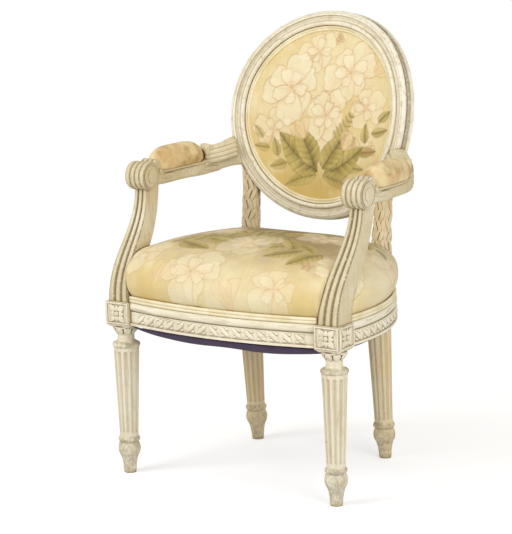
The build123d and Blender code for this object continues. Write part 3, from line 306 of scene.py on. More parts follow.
def rosettes():
    """A rosette in a bordered panel on the front and outer faces of both front blocks."""
    long_leaf = carved_leaf(22 * mm, 14 * mm, 4.6 * mm)
    short_leaf = carved_leaf(15 * mm, 11 * mm, 5.6 * mm)
    boss = carved_boss(5.5 * mm, 7 * mm)
    rim = panel_border(2 * die_half - 3 * mm, die_high - die_low - 9 * mm, 3.2 * mm, 2.4 * mm)
    middle_z = (die_low + die_high) / 2 + 3 * mm
    faces = [
        (Vector((front_leg_x, front_leg_y - die_half, middle_z)), Vector((0, -1, 0)), Vector((1, 0, 0))),
        (Vector((front_leg_x + die_half, front_leg_y, middle_z)), Vector((1, 0, 0)), Vector((0, 1, 0))),
    ]
    parts = {"long": [], "short": [], "boss": [], "rim": []}
    for centre, out, side in faces:
        for turn in range(4):
            for key, eighth, gap in (("long", 1, 4 * mm), ("short", 2, 3 * mm)):
                angle = turn * math.pi / 2 + eighth * math.pi / 4
                way = side * math.cos(angle) + upward * math.sin(angle)
                parts[key].append(standing(centre + way * gap, way, out))
        for key in ("boss", "rim"):
            parts[key].append(standing(centre, upward, out))
    pieces = []
    for pattern, key in ((long_leaf, "long"), (short_leaf, "short"), (boss, "boss"), (rim, "rim")):
        pieces.append(copies(pattern, on_both_sides(parts[key]), key))
    put_away(long_leaf, short_leaf, boss, rim)
    return joined(pieces, "block_rosettes")


def leaves_round_legs(leaf, first, last, droop, turn, name):
    """Eight leaves round each front leg, from one radius and height to another, facing a little down."""
    axis = Vector((front_leg_x, front_leg_y, 0))
    places = []
    for number in range(8):
        angle = (number + turn) * math.pi / 4
        out = Vector((math.cos(angle), math.sin(angle), 0))
        start, end = (axis + out * radius + upward * height for radius, height in (first, last))
        places.append(standing(start, end - start, out - upward * droop))
    whole = copies(leaf, on_both_sides(places), name)
    put_away(leaf)
    return whole


def neck_leaves():
    """Leaves drooping over the flare under each front block."""
    leaf = carved_leaf(21 * mm, 16 * mm, 3.4 * mm, 0.6)
    return leaves_round_legs(leaf, (25 * mm, 306 * mm), (17.5 * mm, 286 * mm), 0.55, 0, "neck_leaves")


def foot_leaves():
    """Leaves round the bulbs of the front feet."""
    leaf = carved_leaf(26 * mm, 15 * mm, 2.4 * mm, 1.2)
    return leaves_round_legs(leaf, (18.5 * mm, 37 * mm), (21 * mm, 62 * mm), 0.1, 0.5, "foot_leaves")


def ribbon_twist(length, pitch, slant, name):
    """A flat run of twisted ribbon, along X from its middle, standing out along -Y."""
    stroke_length = 31 * mm
    stroke = carved_leaf(stroke_length, 10.5 * mm, 4.2 * mm, 0.95, 0.15)
    curl = carved_leaf(12 * mm, 6 * mm, 3 * mm, 0.6, 0.2)
    out = Vector((0, -1, 0))
    tilt = math.radians(42)
    middle = (band_low + band_high) / 2
    strokes, curls = [], []
    count = int(length / pitch)
    for number in range(count):
        along = (number - (count - 1) / 2) * pitch
        lean = slant if slant else (1 if along < 0 else -1)
        way = Vector((math.cos(tilt) * lean, 0, math.sin(tilt)))
        start = Vector((along, 0, middle)) - way * (stroke_length / 2)
        strokes.append(standing(start, way, out))
        for side in (-1, 1):
            place = Vector((along - side * lean * 9.5 * mm, 0, middle + side * 5.5 * mm))
            curl_way = Vector((lean, 0, 0.25)) * side
            curls.append(standing(place, curl_way, out))
    run = joined([copies(stroke, strokes, "strokes"), copies(curl, curls, "curls")], name)
    put_away(stroke, curl)
    return run


def rail_ribbons():
    """The ribbon twist carved along the front and side rails."""
    pitch = 27 * mm
    front = ribbon_twist(424 * mm, pitch, 0, "front_rail_ribbon")
    places = get_points(front)
    turn = places[:, 0] / front_radius
    reach = front_radius - band_depth - places[:, 1]
    bent = np.stack([reach * np.sin(turn), front_centre.y - reach * np.cos(turn), places[:, 2]], axis=1)
    set_points(front, bent)

    half = (side_last - side_first) * side_radius / 2
    side = ribbon_twist(2 * half - 8 * mm, pitch, -1, "side_rail_ribbon_right")
    places = get_points(side)
    turn = side_first + (places[:, 0] + half) / side_radius
    reach = side_radius - band_depth - places[:, 1]
    bent = np.stack(
        [side_centre.x + reach * np.cos(turn), side_centre.y + reach * np.sin(turn), places[:, 2]], axis=1
    )
    set_points(side, bent)
    other = copies(side, [to_the_left], "side_rail_ribbon_left")
    for run in (front, side, other):
        smooth(run)
    return front, side, other


def scroll_discs():
    """Turned discs on both ends of both scrolls."""
    disc = scroll_disc(24.5 * mm)
    places = []
    for side in (-1, 1):
        centre = scroll_centre + Vector((side * (scroll_half - 0.3 * mm), 0, 0))
        places.append(standing(centre, upward, (side, 0, 0)))
    whole = copies(disc, on_both_sides(places), "scroll_discs")
    put_away(disc)
    return whole


# How far outside the wood a ray starts, where a leaf is to be laid
ray_start = 90 * mm


def leaves_on(node, leaf, wanted, name):
    """Leaves laid close on a right-hand CAD piece where rays meet it, and again on the left."""
    wood = surface_of(node)
    relief = get_points(leaf)
    right = []
    for start, aim, way in wanted:
        hit, normal = wood.ray_cast(start, aim.normalized())[:2]
        if hit is None:
            continue
        place = standing(hit, way, normal)
        laid = copies(leaf, [place], name)
        moved = []
        for x, y, rise in relief:
            near, out = wood.find_nearest(place @ Vector((x, y, 0)))[:2]
            moved.append(near + out * rise)
        set_points(laid, moved)
        right.append(laid)
    return mirrored(joined(right, name), name)


def stile_leaves():
    """Long crossing leaves up the front, the sides and the rear of both stiles."""
    leaf = carved_leaf(38 * mm, 9.5 * mm, 3.8 * mm, 0.9, 0.6)
    lowest, pitch = 371 * mm, 20.5 * mm
    stile_rake = 0.17
    wanted = []
    for level in range(11):
        height = lowest + level * pitch
        lean = 1 if level % 2 else -1
        axis = Vector((rear_leg_x + 1 * mm, rear_leg_y + (height - rail_top) * stile_rake, height))
        for out in ((0, -1, 0), (1, 0, 0), (-1, 0, 0), (0, 1, 0)):
            out = Vector(out)
            side = out.cross(upward)
            way = Vector((0, 0.18, 1)) + side * 0.42 * lean
            for shift in (-6, 5):
                start = axis + out * ray_start - side * (shift + 3 * lean) * mm
                wanted.append((start, -out, way))
    whole = leaves_on("rear_leg_right", leaf, wanted, "stile_leaves")
    put_away(leaf)
    return whole


def arm_leaves():
    """Leaves that spread over the arm's rear end towards the round back, and one along its side."""
    leaf = carved_leaf(62 * mm, 10 * mm, 2.8 * mm, 1.0, 0.5)
    wanted = []
    start_line = Vector((0.243, 0.078, 0.600))
    way = Vector((-0.050, 0.052, 0.010)).normalized()
    side = upward.cross(way).normalized()
    for rise, spread in ((-11, -0.16), (-3, -0.04), (5, 0.1), (13, 0.2)):
        for out in (side, -side):
            origin = start_line + upward * rise * mm + out * ray_start
            wanted.append((origin, -out, way + upward * spread))
    for shift in (-8, 0, 8):
        origin = start_line + way * 22 * mm + side * shift * mm + upward * ray_start
        wanted.append((origin, -upward, way))
    for out in (across_chair, -across_chair):
        origin = Vector((scroll_centre.x, -0.083, 0.592)) + out * ray_start
        wanted.append((origin, -out, Vector((0, 1, 0.02))))
    whole = leaves_on("arm_right", leaf, wanted, "arm_leaves")
    put_away(leaf)
    return whole


# The ribs of an arm's crest: how far aside and down each lies and how thick it is, in millimetres
crest_ribs = (
    (-5, 2, 7), (4, 1, 7.5), (-12, 9, 6.5), (12, 8, 6.5),
    (-15, 17, 6.5), (15, 16, 6.5), (-16, 25, 6), (16, 24, 6),
)


def arm_crests():
    """The ribbed crest of leaves that runs from the roll behind each pad up to the round back."""
    first, last = Vector((0.2385, 0.086, 0.6265)), Vector((0.1925, 0.1335, 0.6415))
    way = (last - first).normalized()
    side = upward.cross(way).normalized()
    right = []
    for shift, drop, radius in crest_ribs:
        line = []
        for share in np.linspace(0, 1, 24):
            arch = math.sin(math.pi * share)
            swell = 2.5 * mm * arch * (1 if shift > 0 else -1)
            place = first.lerp(last, share) + side * (shift * mm * (0.7 + 0.3 * share) + swell)
            line.append(place - upward * (drop + 1.5 * arch) * mm)
        right.append(cord_tube(line, radius * mm, 12, False, "rib"))
    return mirrored(joined(right, "arm_crests"), "arm_crests")


def pad_beads():
    """A rounded bead of wood round the foot of each arm pad, with a small curl at its front."""
    middle = [(254, -84), (254, -60), (254, -20), (252, 20), (248, 55), (243, 78)]
    right = []
    path_x, path_y = np.array(middle).T * mm
    along = np.linspace(path_y[0], path_y[-1], 60)
    centre = np.interp(along, path_y, path_x)
    share = (along - along[0]) / (along[-1] - along[0])
    half = 21.6 * mm * np.clip(np.sin(np.pi * (0.09 + 0.82 * share)) ** 0.22, 0.3, 1)
    for side in (-1, 1):
        line = [(x + side * w, y, 602.6 * mm) for x, y, w in zip(centre, along, half)]
        right.append(cord_tube(line, 2.5 * mm, 10, False, "bead"))
    boss = carved_boss(6.5 * mm, 4.5 * mm)
    places = [
        standing((scroll_centre.x + side * 19.5 * mm, -81 * mm, 604.5 * mm), upward, (side, 0, 0))
        for side in (-1, 1)
    ]
    right.append(copies(boss, places, "curl"))
    put_away(boss)
    return mirrored(joined(right, "pad_beads"), "pad_beads")


# Cushions and pads


def soft_copy(node, name, voxel):
    """A closed, evenly meshed copy of a CAD piece of stuffing."""
    piece = bpy.data.objects.new(name, nodes[node].data.copy())
    scene.collection.objects.link(piece)
    piece.data.materials.clear()
    outward(piece)
    remesh = piece.modifiers.new("even", "REMESH")
    remesh.mode = "VOXEL"
    remesh.voxel_size = voxel
    soften = piece.modifiers.new("soften", "SMOOTH")
    soften.factor = 0.5
    soften.iterations = 6
    apply_modifiers(piece)
    return piece


def close_to(piece, wood, limit):
    """Which points of a piece lie closer than a limit to the wood."""
    places = get_points(piece)
    near = np.zeros(len(places), dtype=bool)
    for number, place in enumerate(places):
        near[number] = wood.find_nearest(Vector(place), limit)[0] is not None
    return near


def stuff(piece, held, pressure, limit):
    """Swell a pad as cloth over its filling, with some points held and a limit to each point's way."""
    last_frame = 20
    before = get_points(piece)
    group = piece.vertex_groups.new(name="held")
    group.add([int(index) for index in np.flatnonzero(held)], 1, "REPLACE")
    cloth = piece.modifiers.new("cloth", "CLOTH")
    settings = cloth.settings
    settings.quality = 5
    settings.mass = 0.3
    settings.tension_stiffness = 12
    settings.compression_stiffness = 12
    settings.shear_stiffness = 6
    settings.bending_stiffness = 0.6
    settings.use_pressure = True
    settings.uniform_pressure_force = pressure
    settings.vertex_group_mass = "held"
    settings.effector_weights.gravity = 0
    cloth.collision_settings.use_collision = False
    cloth.point_cache.frame_start = 1
    cloth.point_cache.frame_end = last_frame
    for number in range(1, last_frame + 1):
        scene.frame_set(number)
    apply_modifiers(piece)
    scene.frame_set(1)
    move = get_points(piece) - before
    size = np.linalg.norm(move, axis=1, keepdims=True)
    ease = limit * 0.6
    set_points(piece, before + move * limit / np.maximum(size + ease, 1e-9))
    piece.vertex_groups.clear()


def refine(piece, soften):
    """Smooth a stuffed pad a little and divide its mesh once."""
    calm = piece.modifiers.new("calm", "SMOOTH")
    calm.factor = 0.5
    calm.iterations = soften
    fine = piece.modifiers.new("fine", "SUBSURF")
    fine.levels = 1
    fine.render_levels = 1
    apply_modifiers(piece)
    smooth(piece)


def keep_place(piece, across, up):
    """Keep each point's place on the flat cloth, in metres, for the weave."""
    layer = piece.data.attributes.new("cloth_place", "FLOAT_VECTOR", "POINT")
    flat = np.stack([across, up, np.zeros(len(across))], axis=1)
    layer.data.foreach_set("vector", np.ascontiguousarray(flat, dtype=np.float32).ravel())


def keep_colour(piece, colours):
    """Keep the printed colours on a piece's points."""
    layer = piece.data.attributes.new("print", "FLOAT_COLOR", "POINT")
    full = np.concatenate([colours, np.ones((len(colours), 1))], axis=1)
    layer.data.foreach_set("color", np.ascontiguousarray(full, dtype=np.float32).ravel())


def along_bend(start, middle, end, share):
    """A place on a bent line, from its start to its end as the share goes from 0 to 1."""
    rest = 1 - share
    return tuple(
        rest**2 * first + 2 * share * rest * second + share * share * third
        for first, second, third in zip(start, middle, end)
    )


def rounded(u, v):
    """A place on a square sheet drawn in to a round one, both reaching from -1 to 1."""
    return u * math.sqrt(1 - v * v / 2), v * math.sqrt(1 - u * u / 2)


def soft_edge(distance, width):
    """1 inside a line, 0 outside it, with a soft edge."""
    return np.clip(0.5 - distance / (2 * width), 0, 1)


def ripple(across, up, scale, seed):
    """A smooth, uneven field between -1 and 1 on the cloth."""
    total = np.zeros(len(across))
    for octave in range(4):
        grow = 1.9**octave
        turn = seed * 1.7 + octave * 2.1
        way_x, way_y = math.cos(turn), math.sin(turn)
        first = np.sin((across * way_x + up * way_y) * grow / scale + seed * 3.1 + octave)
        second = np.sin((across * way_y - up * way_x) * grow / scale * 1.13 + seed * 5.3 - octave)
        total += first * second / grow**0.7
    return total / 2.1


class Print:
    """Flowers laid over each other on a cloth like washes of colour, at places in millimetres."""

    cream = linear(232, 217, 172)
    gold = linear(219, 190, 114)
    amber = linear(200, 156, 84)
    pale = linear(241, 231, 200)
    blush = linear(235, 209, 162)
    line = linear(178, 136, 88)
    rust = linear(186, 116, 76)
    sage = linear(208, 188, 110)
    olive = linear(166, 145, 64)
    moss = linear(98, 84, 36)
    umber = linear(152, 126, 82)

    def __init__(self, across, up, shade):
        self.x, self.y = across, up
        cloud = ripple(across, up, 46, 2)
        ground = np.clip(shade + 0.38 * cloud, 0, 1)[:, None]
        self.colour = self.cream * (1 - ground) + self.gold * ground
        light = np.clip(0.9 * ripple(across, up, 31, 9) - 0.25, 0, 1)[:, None]
        self.colour = self.colour * (1 - light) + self.pale * light
        # painted sheen: faint lighter and darker streaks running up the silk
        sheen_streak = ripple(across * 3, up * 0.2, 9, 5)[:, None]
        self.colour = self.colour * (1 + 0.045 * sheen_streak)
        self.fade = np.clip(0.6 + 0.6 * ripple(across, up, 17, 4), 0.08, 1)
        self.wash = np.clip(0.55 + 0.6 * ripple(across, up, 25, 7), 0.05, 1)

    def lay(self, colour, cover, where):
        """Lay a colour on some points where cover is above 0."""
        cover = np.clip(cover, 0, 1)[:, None]
        self.colour[where] = self.colour[where] * (1 - cover) + np.asarray(colour) * cover

    def about(self, x, y, turn, reach):
        """The points near a place, and how far they lie across and along a way turned from the upright."""
        where = np.flatnonzero((self.x - x) ** 2 + (self.y - y) ** 2 < reach**2)
        aside, high = self.x[where] - x, self.y[where] - y
        sine, cosine = math.sin(turn), math.cos(turn)
        return where, aside * cosine - high * sine, aside * sine + high * cosine

    def blot(self, x, y, size, colour, cover):
        """A soft, uneven wash of colour."""
        where, aside, high = self.about(x, y, 0, size * 2.2)
        uneven = 0.75 + 0.5 * self.wash[where]
        self.lay(colour, np.exp(-((np.hypot(aside, high) / size / uneven) ** 2)) * cover, where)

    def petal(self, x, y, length, width, turn, seed, tint, strength):
        """One ruffled petal in a pale wash, warmer at its foot, with a thin broken outline."""
        where, aside, high = self.about(x, y, turn, length * 1.5)
        u = aside / (width / 2)
        ruffle = 1 + 0.05 * np.sin(4.1 * u + seed) + 0.025 * np.sin(9.7 * u + 2.3 * seed)
        v = np.clip(high / length * ruffle, 1e-3, 1 - 1e-3)
        tip = np.sqrt(1 - v**5)
        slope = 0.55 * v**-0.45 * tip - 2.5 * v**4.55 / tip
        inner = (v**0.55 * tip - np.abs(u)) / np.hypot(2 / width, slope / length)
        inner = inner - np.maximum(high * ruffle - length, 0) - np.maximum(-high, 0)
        inside = np.clip(0.5 + inner / 3, 0, 1)
        cover = inside * strength
        wash, fade = self.wash[where], self.fade[where]
        rooted = np.clip(high / length * 4, 0, 1)
        halo = np.exp(-np.maximum(-inner, 0) / 6) * (1 - inside) * rooted
        self.lay(self.gold, halo * 0.22 * wash * strength, where)
        self.lay(tint, cover * (0.35 + 0.45 * wash), where)
        self.lay(self.blush, cover * np.clip(0.7 - v, 0, 1) * (1.0 - 0.5 * wash), where)
        self.lay(self.gold, cover * np.clip(u, 0, 1) * np.clip(1.2 - v, 0, 1) * 0.5 * fade, where)
        veins = np.cos(u / np.maximum(v, 0.15) * 5 + seed) ** 12 * np.clip(1 - v, 0, 1) * rooted
        self.lay(self.line, cover * veins * 0.2 * fade, where)
        rim = np.exp(-((inner / 1.3) ** 2)) * rooted
        self.lay(self.line, rim * 0.5 * fade * strength, where)
        self.lay(self.rust, rim * 0.36 * (1 - wash) * strength, where)

    def flower(self, x, y, size, turn, petals, strength=1.0):
        """An open flower of two rings of petals round a dotted eye."""
        for ring, (share, count) in enumerate(((1.0, petals), (0.6, petals - 1))):
            for number in range(count):
                angle = turn + (number + 0.5 * ring) * 2 * math.pi / count
                angle += 0.16 * math.sin(number * 2.7 + turn * 5)
                length = size * share * (0.9 + 0.14 * math.sin(number * 1.9 + turn * 3))
                broad = length * (1.12 - 0.2 * ring)
                self.petal(x, y, length, broad, angle, number * 1.7 + turn, self.pale, strength)
        where, aside, high = self.about(x, y, 0, size * 0.4)
        away, angle = np.hypot(aside, high), np.arctan2(high, aside)
        self.lay(self.amber, soft_edge(away - size * 0.08, 3) * 0.6 * strength, where)
        dots = np.exp(-(((away - size * 0.15) / 2.6) ** 2)) * np.clip(np.cos(11 * angle), 0, 1)
        self.lay(self.rust, dots * 0.5 * strength, where)

    def bell(self, x, y, size, turn, strength=1.0):
        """A half-open flower seen from its side, with three petals."""
        for lean, share in ((-0.5, 0.95), (0.5, 1.0), (0.0, 0.9)):
            self.petal(x, y, size * share, size * 0.62, turn + lean, lean * 5, self.blush, strength)

    def leaf(self, x, y, length, width, turn, bend=0.0, dark=0.5, strength=1.0):
        """A pointed, toothed leaf in a wash of greens, with a midrib and side veins."""
        where, aside, high = self.about(x, y, turn, length * 1.2)
        v = np.clip(high / length, 1e-3, 1 - 1e-3)
        across = aside - bend * length * v * v
        half = width / 2 * np.sin(np.pi * v**0.72) ** 0.8 * (1 + 0.08 * np.abs(np.sin(v * 24)))
        inner = half - np.abs(across) - np.maximum(high - length, 0) - np.maximum(-high, 0)
        inside = np.clip(0.5 + inner / 2.6, 0, 1)
        cover = inside * strength
        share = np.clip(np.abs(across) / np.maximum(half, 1), 0, 1)
        wash, fade = self.wash[where], self.fade[where]
        self.lay(self.sage, cover * 0.85, where)
        lit = np.where(across > 0, 1.0, 0.4)
        self.lay(self.olive, cover * np.clip(lit * (0.95 - 0.6 * share) + 0.8 * (0.55 - wash), 0, 1), where)
        self.lay(self.moss, cover * np.clip(0.8 - share, 0, 1) * dark * fade, where)
        slant = v * 7 - np.abs(across) / width * 2.2
        self.lay(self.moss, cover * np.cos(np.pi * slant) ** 16 * 0.6 * fade, where)
        self.lay(self.sage, cover * np.cos(np.pi * (slant + 0.3)) ** 12 * 0.55 * wash, where)
        self.lay(self.moss, np.exp(-((across / 1.5) ** 2)) * cover * 0.75, where)
        self.lay(self.moss, np.exp(-((inner / 1.4) ** 2)) * 0.6 * fade * strength, where)

    def stem(self, start, middle, end, width=1.7, strength=0.6):
        """A curved stem."""
        nearest = np.full(len(self.x), 1e9)
        steps = 40
        for step in range(steps + 1):
            x, y = along_bend(start, middle, end, step / steps)
            nearest = np.minimum(nearest, (self.x - x) ** 2 + (self.y - y) ** 2)
        self.lay(self.olive, np.exp(-nearest / width**2) * strength * self.fade, np.arange(len(self.x)))

    def spray(self, start, middle, end, leaves, size, dark, strength):
        """Leaves set in turn on both sides of a curved stem, smaller towards its tip."""
        self.stem(start, middle, end)
        for number in range(leaves):
            t = 0.1 + 0.9 * number / (leaves - 1)
            x, y = along_bend(start, middle, end, t)
            along_x = (1 - t) * (middle[0] - start[0]) + t * (end[0] - middle[0])
            along_y = (1 - t) * (middle[1] - start[1]) + t * (end[1] - middle[1])
            side = 1 if number % 2 else -1
            lean = 0.1 if number == leaves - 1 else 0.85 * side
            length = size * (1 - 0.35 * t)
            turn = math.atan2(along_x, along_y) + lean
            self.leaf(x, y, length, length * 0.48, turn, -0.15 * side, dark, strength)

    def fern(self, x, y, length, turn, strength=0.8):
        """A spray of small paired leaves along a stem."""
        pairs = 6
        for pair in range(pairs):
            share = (pair + 0.7) / pairs
            at_x = x + math.sin(turn) * length * share
            at_y = y + math.cos(turn) * length * share
            size = length * 0.36 * (1 - 0.6 * share)
            for side in (-1, 1):
                self.leaf(at_x, at_y, size, size * 0.5, turn + side * 0.9, 0, 0.3, strength)
        end = (x + math.sin(turn) * length, y + math.cos(turn) * length)
        self.stem((x, y), ((x + end[0]) / 2, (y + end[1]) / 2), end, 1.4, strength)

    def berries(self, x, y, size, count, seed):
        """A loose cluster of small round berries."""
        for number in range(count):
            angle = number * 2.4 + seed
            away = size * math.sqrt((number + 0.4) / count)
            where, aside, high = self.about(x + away * math.cos(angle), y + away * math.sin(angle), 0, 12)
            far = np.hypot(aside, high)
            self.lay(self.rust, soft_edge(far - 4.4, 2.4) * 0.5 * self.wash[where], where)
            self.lay(self.line, np.exp(-(((far - 4.4) / 1.2) ** 2)) * 0.35, where)


def seat_cushion():
    """The crowned seat, in printed silk over its stuffing."""
    piece = soft_copy("seat_stuffing", "seat_cushion", 4 * mm)
    wood = surface_of(
        "arm_support_left", "arm_support_right", "rear_leg_left", "rear_leg_right",
        "front_rail", "side_rail_left", "side_rail_right", "rear_rail", "seat_hessian",
    )
    held = close_to(piece, wood, 5 * mm)
    stuff(piece, held, 4, 4 * mm)
    refine(piece, 4)
    places, normals = get_points(piece), get_points(piece, "normal")
    drop = seat_crown_z - places[:, 2]
    flat = np.hypot(normals[:, 0], normals[:, 1])
    half_width, half_depth, unfolded = 0.27, 0.2, 0.8
    aside = (places[:, 0] / half_width) ** 3 / half_width
    ahead = ((places[:, 1] - seat_middle_y) / half_depth) ** 3 / half_depth
    way = np.maximum(np.hypot(aside, ahead), 1e-6)
    across = places[:, 0] + aside / way * drop * unfolded
    up = places[:, 1] + ahead / way * drop * unfolded
    keep_place(piece, across, up)
    x, y = across / mm, up / mm
    shade = 0.1 + 0.16 * np.clip((drop / mm - 70) / 50, 0, 1) + 0.15 * (1 - flat)
    flowers = Print(x, y, shade)
    flowers.blot(-190, -315, 62, flowers.gold, 0.75)
    flowers.blot(210, -300, 55, flowers.gold, 0.6)
    flowers.blot(30, -330, 50, flowers.pale, 0.6)
    # painted light: a pale wash that lightens the seat's right side
    flowers.blot(310, -60, 85, flowers.pale, 0.5)
    flowers.blot(0, 40, 190, flowers.umber, 0.95)
    flowers.blot(-100, -70, 80, flowers.umber, 0.7)
    flowers.blot(110, -70, 90, flowers.umber, 0.7)
    flowers.blot(0, 40, 130, flowers.moss, 0.42)
    flowers.flower(-60, -272, 80, 0.5, 6, 0.72)
    flowers.flower(140, -290, 66, 1.4, 5, 0.6)
    flowers.flower(-225, -200, 70, 2.0, 5, 0.6)
    flowers.flower(268, -170, 70, 0.2, 5, 0.75)
    flowers.flower(290, 30, 66, 1.2, 5, 0.7)
    flowers.flower(-285, 10, 72, 0.9, 5, 0.7)
    flowers.bell(-150, -300, 62, 0.5, 0.5)
    flowers.bell(44, -336, 58, -0.4, 0.45)
    flowers.spray((40, 150), (0, 80), (-150, 60), 7, 92, 0.8, 0.9)
    flowers.spray((50, 150), (120, 90), (220, 60), 7, 88, 0.8, 0.9)
    flowers.spray((-196, -150), (-90, -150), (60, 10), 9, 104, 0.9, 0.9)
    flowers.spray((206, -120), (120, -170), (-40, -60), 9, 100, 0.9, 0.9)
    flowers.flower(12, -128, 72, 0.9, 6, 0.66)
    flowers.flower(120, -20, 58, 0.3, 5, 0.85)
    flowers.flower(-110, -30, 56, 1.5, 5, 0.85)
    flowers.bell(20, 60, 52, 0.4, 0.85)
    flowers.berries(190, -200, 18, 8, 1)
    keep_colour(piece, flowers.colour)
    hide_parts("seat_cover", "seat_stuffing")
    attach(piece, "root")
    return piece


def round_sheet(name, cells, level):
    """A square grid drawn out to the oval of the back, at levels that depend on the way from its middle."""
    clear_selection()
    bpy.ops.mesh.primitive_grid_add(x_subdivisions=cells, y_subdivisions=cells, size=2)
    piece = bpy.context.object
    piece.name = name
    places = []
    for u, v in get_points(piece)[:, :2]:
        x, y = rounded(u, v)
        places.append(back_place(x * back_pad_width, y * back_pad_height, level(min(1, x * x + y * y))))
    set_points(piece, places)
    return piece


def back_cushion():
    """The crowned padding of the back, in printed silk."""
    foot, crown, cells = -6.8 * mm, 25 * mm, 112
    front = round_sheet("front", cells, lambda share: foot + crown * (1 - share) ** 0.86)
    rear = round_sheet("rear", cells, lambda share: foot)
    rear.data.flip_normals()
    piece = joined([front, rear], "back_cushion")
    outward(piece)
    hessian = surface_of("back_hessian")
    stuff(piece, close_to(piece, hessian, 1.5 * mm), 4, 3 * mm)
    refine(piece, 1)
    places = get_points(piece) - np.array(back_centre)
    up = places @ np.array(back_up)
    forward = places @ np.array(back_forward)
    across = back_curve * np.arctan2(places[:, 0], back_curve - forward)
    keep_place(piece, across, up)
    x, y = across / mm, up / mm
    half_across, half_up = 179, 183
    away = np.hypot(x / half_across, y / half_up)
    low, rim = np.clip((-y - 70) / 80, 0, 1), np.clip((away - 0.76) / 0.24, 0, 1)
    shade = 0.04 + 0.95 * low + 0.4 * rim
    flowers = Print(x, y, shade)
    flowers.blot(60, 0, 60, flowers.gold, 0.6)
    flowers.blot(-120, -70, 50, flowers.gold, 0.7)
    flowers.stem((6, -140), (-20, -60), (-62, 52))
    flowers.stem((6, -140), (50, -60), (90, 20))
    flowers.stem((6, -140), (-60, -90), (-110, -20))
    flowers.flower(-112, -38, 46, 0.1, 5, 0.8)
    flowers.flower(112, 18, 46, 2.2, 5, 0.8)
    flowers.flower(-24, 128, 48, 0.9, 5, 0.75)
    flowers.flower(62, 88, 66, 0.3, 6, 0.9)
    flowers.flower(-78, 52, 74, 1.2, 6, 0.95)
    flowers.flower(14, -2, 58, 0.8, 6, 0.95)
    flowers.spray((30, -118), (96, -92), (146, -10), 7, 52, 0.6, 0.85)
    flowers.spray((-10, -120), (-90, -116), (-136, -56), 6, 48, 0.5, 0.6)
    flowers.fern(40, -60, 70, 0.55, 0.6)
    flowers.leaf(16, -122, 108, 48, 1.25, -0.25, 0.8)
    flowers.leaf(-2, -118, 116, 60, -1.15, 0.25, 1.0)
    flowers.leaf(12, -112, 92, 44, 0.55, 0.1, 0.8)
    flowers.leaf(-8, -108, 96, 50, -0.4, -0.15, 1.0)
    flowers.leaf(12, -126, 74, 28, 1.7, 0.2, 0.4, 0.55)
    flowers.leaf(-4, -126, 78, 28, -1.7, -0.2, 0.4, 0.55)
    flowers.bell(-36, -52, 44, -0.5, 0.85)
    flowers.bell(62, -70, 42, 0.6, 0.85)
    flowers.bell(118, 86, 34, 0.9, 0.8)
    flowers.berries(128, -66, 14, 7, 2)
    flowers.berries(20, 158, 10, 5, 1)
    seam, stitch_count = np.exp(-(((away - 0.956) * 180 / 1.3) ** 2)), 110
    stitches = seam * np.clip(np.cos(np.arctan2(y, x) * stitch_count), 0, 1)
    flowers.lay(flowers.line, stitches * 0.6, np.arange(len(x)))
    keep_colour(piece, flowers.colour)
    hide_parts("back_cover", "back_stuffing")
    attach(piece, "root")
    return piece


def arm_pads():
    """The two stuffed pads on the arms."""
    pads = []
    for side in ("left", "right"):
        piece = soft_copy(f"arm_pad_{side}", f"arm_pad_cushion_{side}", 4 * mm)
        held = close_to(piece, surface_of(f"arm_{side}"), 4 * mm)
        stuff(piece, held, 4, 2.5 * mm)
        refine(piece, 3)
        places = get_points(piece)
        keep_place(piece, places[:, 0] + places[:, 2], places[:, 1])
        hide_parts(f"arm_pad_{side}")
        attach(piece, "root")
        pads.append(piece)
    return pads


# Cords, rear cloth and dust cloth


def cord_tube(line, radius, sides, closed, name):
    """A covered cord along a line of places, with its length and turn kept for the weave."""
    line = np.asarray(line)
    count = len(line)
    if closed:
        way = np.roll(line, -1, axis=0) - np.roll(line, 1, axis=0)
        upright = np.array(back_forward)
    else:
        way = np.gradient(line, axis=0)
        upright = np.array([0.02, 0.05, 1.0])
    way /= np.linalg.norm(way, axis=1, keepdims=True)
    first = np.cross(way, upright)
    first /= np.linalg.norm(first, axis=1, keepdims=True)
    second = np.cross(first, way)
    turns = np.arange(sides) * 2 * np.pi / sides
    ring = first[:, None, :] * np.cos(turns)[None, :, None]
    ring = ring + second[:, None, :] * np.sin(turns)[None, :, None]
    corners = (line[:, None, :] + radius * ring).reshape(-1, 3)
    faces = []
    for row in range(count if closed else count - 1):
        below, above = row * sides, (row + 1) % count * sides
        for number in range(sides):
            after = (number + 1) % sides
            faces.append((below + number, below + after, above + after, above + number))
    if not closed:
        faces.append(tuple(range(sides)))
        faces.append(tuple(range((count - 1) * sides, count * sides)))
    mesh = bpy.data.meshes.new(name)
    mesh.from_pydata(corners.tolist(), [], faces)
    piece = bpy.data.objects.new(name, mesh)
    scene.collection.objects.link(piece)
    step = np.linalg.norm(np.diff(line, axis=0), axis=1)
    length = np.concatenate([[0], np.cumsum(step)])
    keep_place(piece, np.repeat(length, sides), np.tile(turns * radius, count))
    outward(piece)
    smooth(piece)
    return piece


def arc_line(centre, radius, first, last, height, mirror=1):
    """Places along an arc in plan, every few millimetres."""
    spacing = 5 * mm
    count = int(abs(last - first) * radius / spacing) + 2
    angles = np.linspace(first, last, count)
    return [
        (mirror * (centre.x + radius * math.cos(angle)), centre.y + radius * math.sin(angle), height)
        for angle in angles
    ]


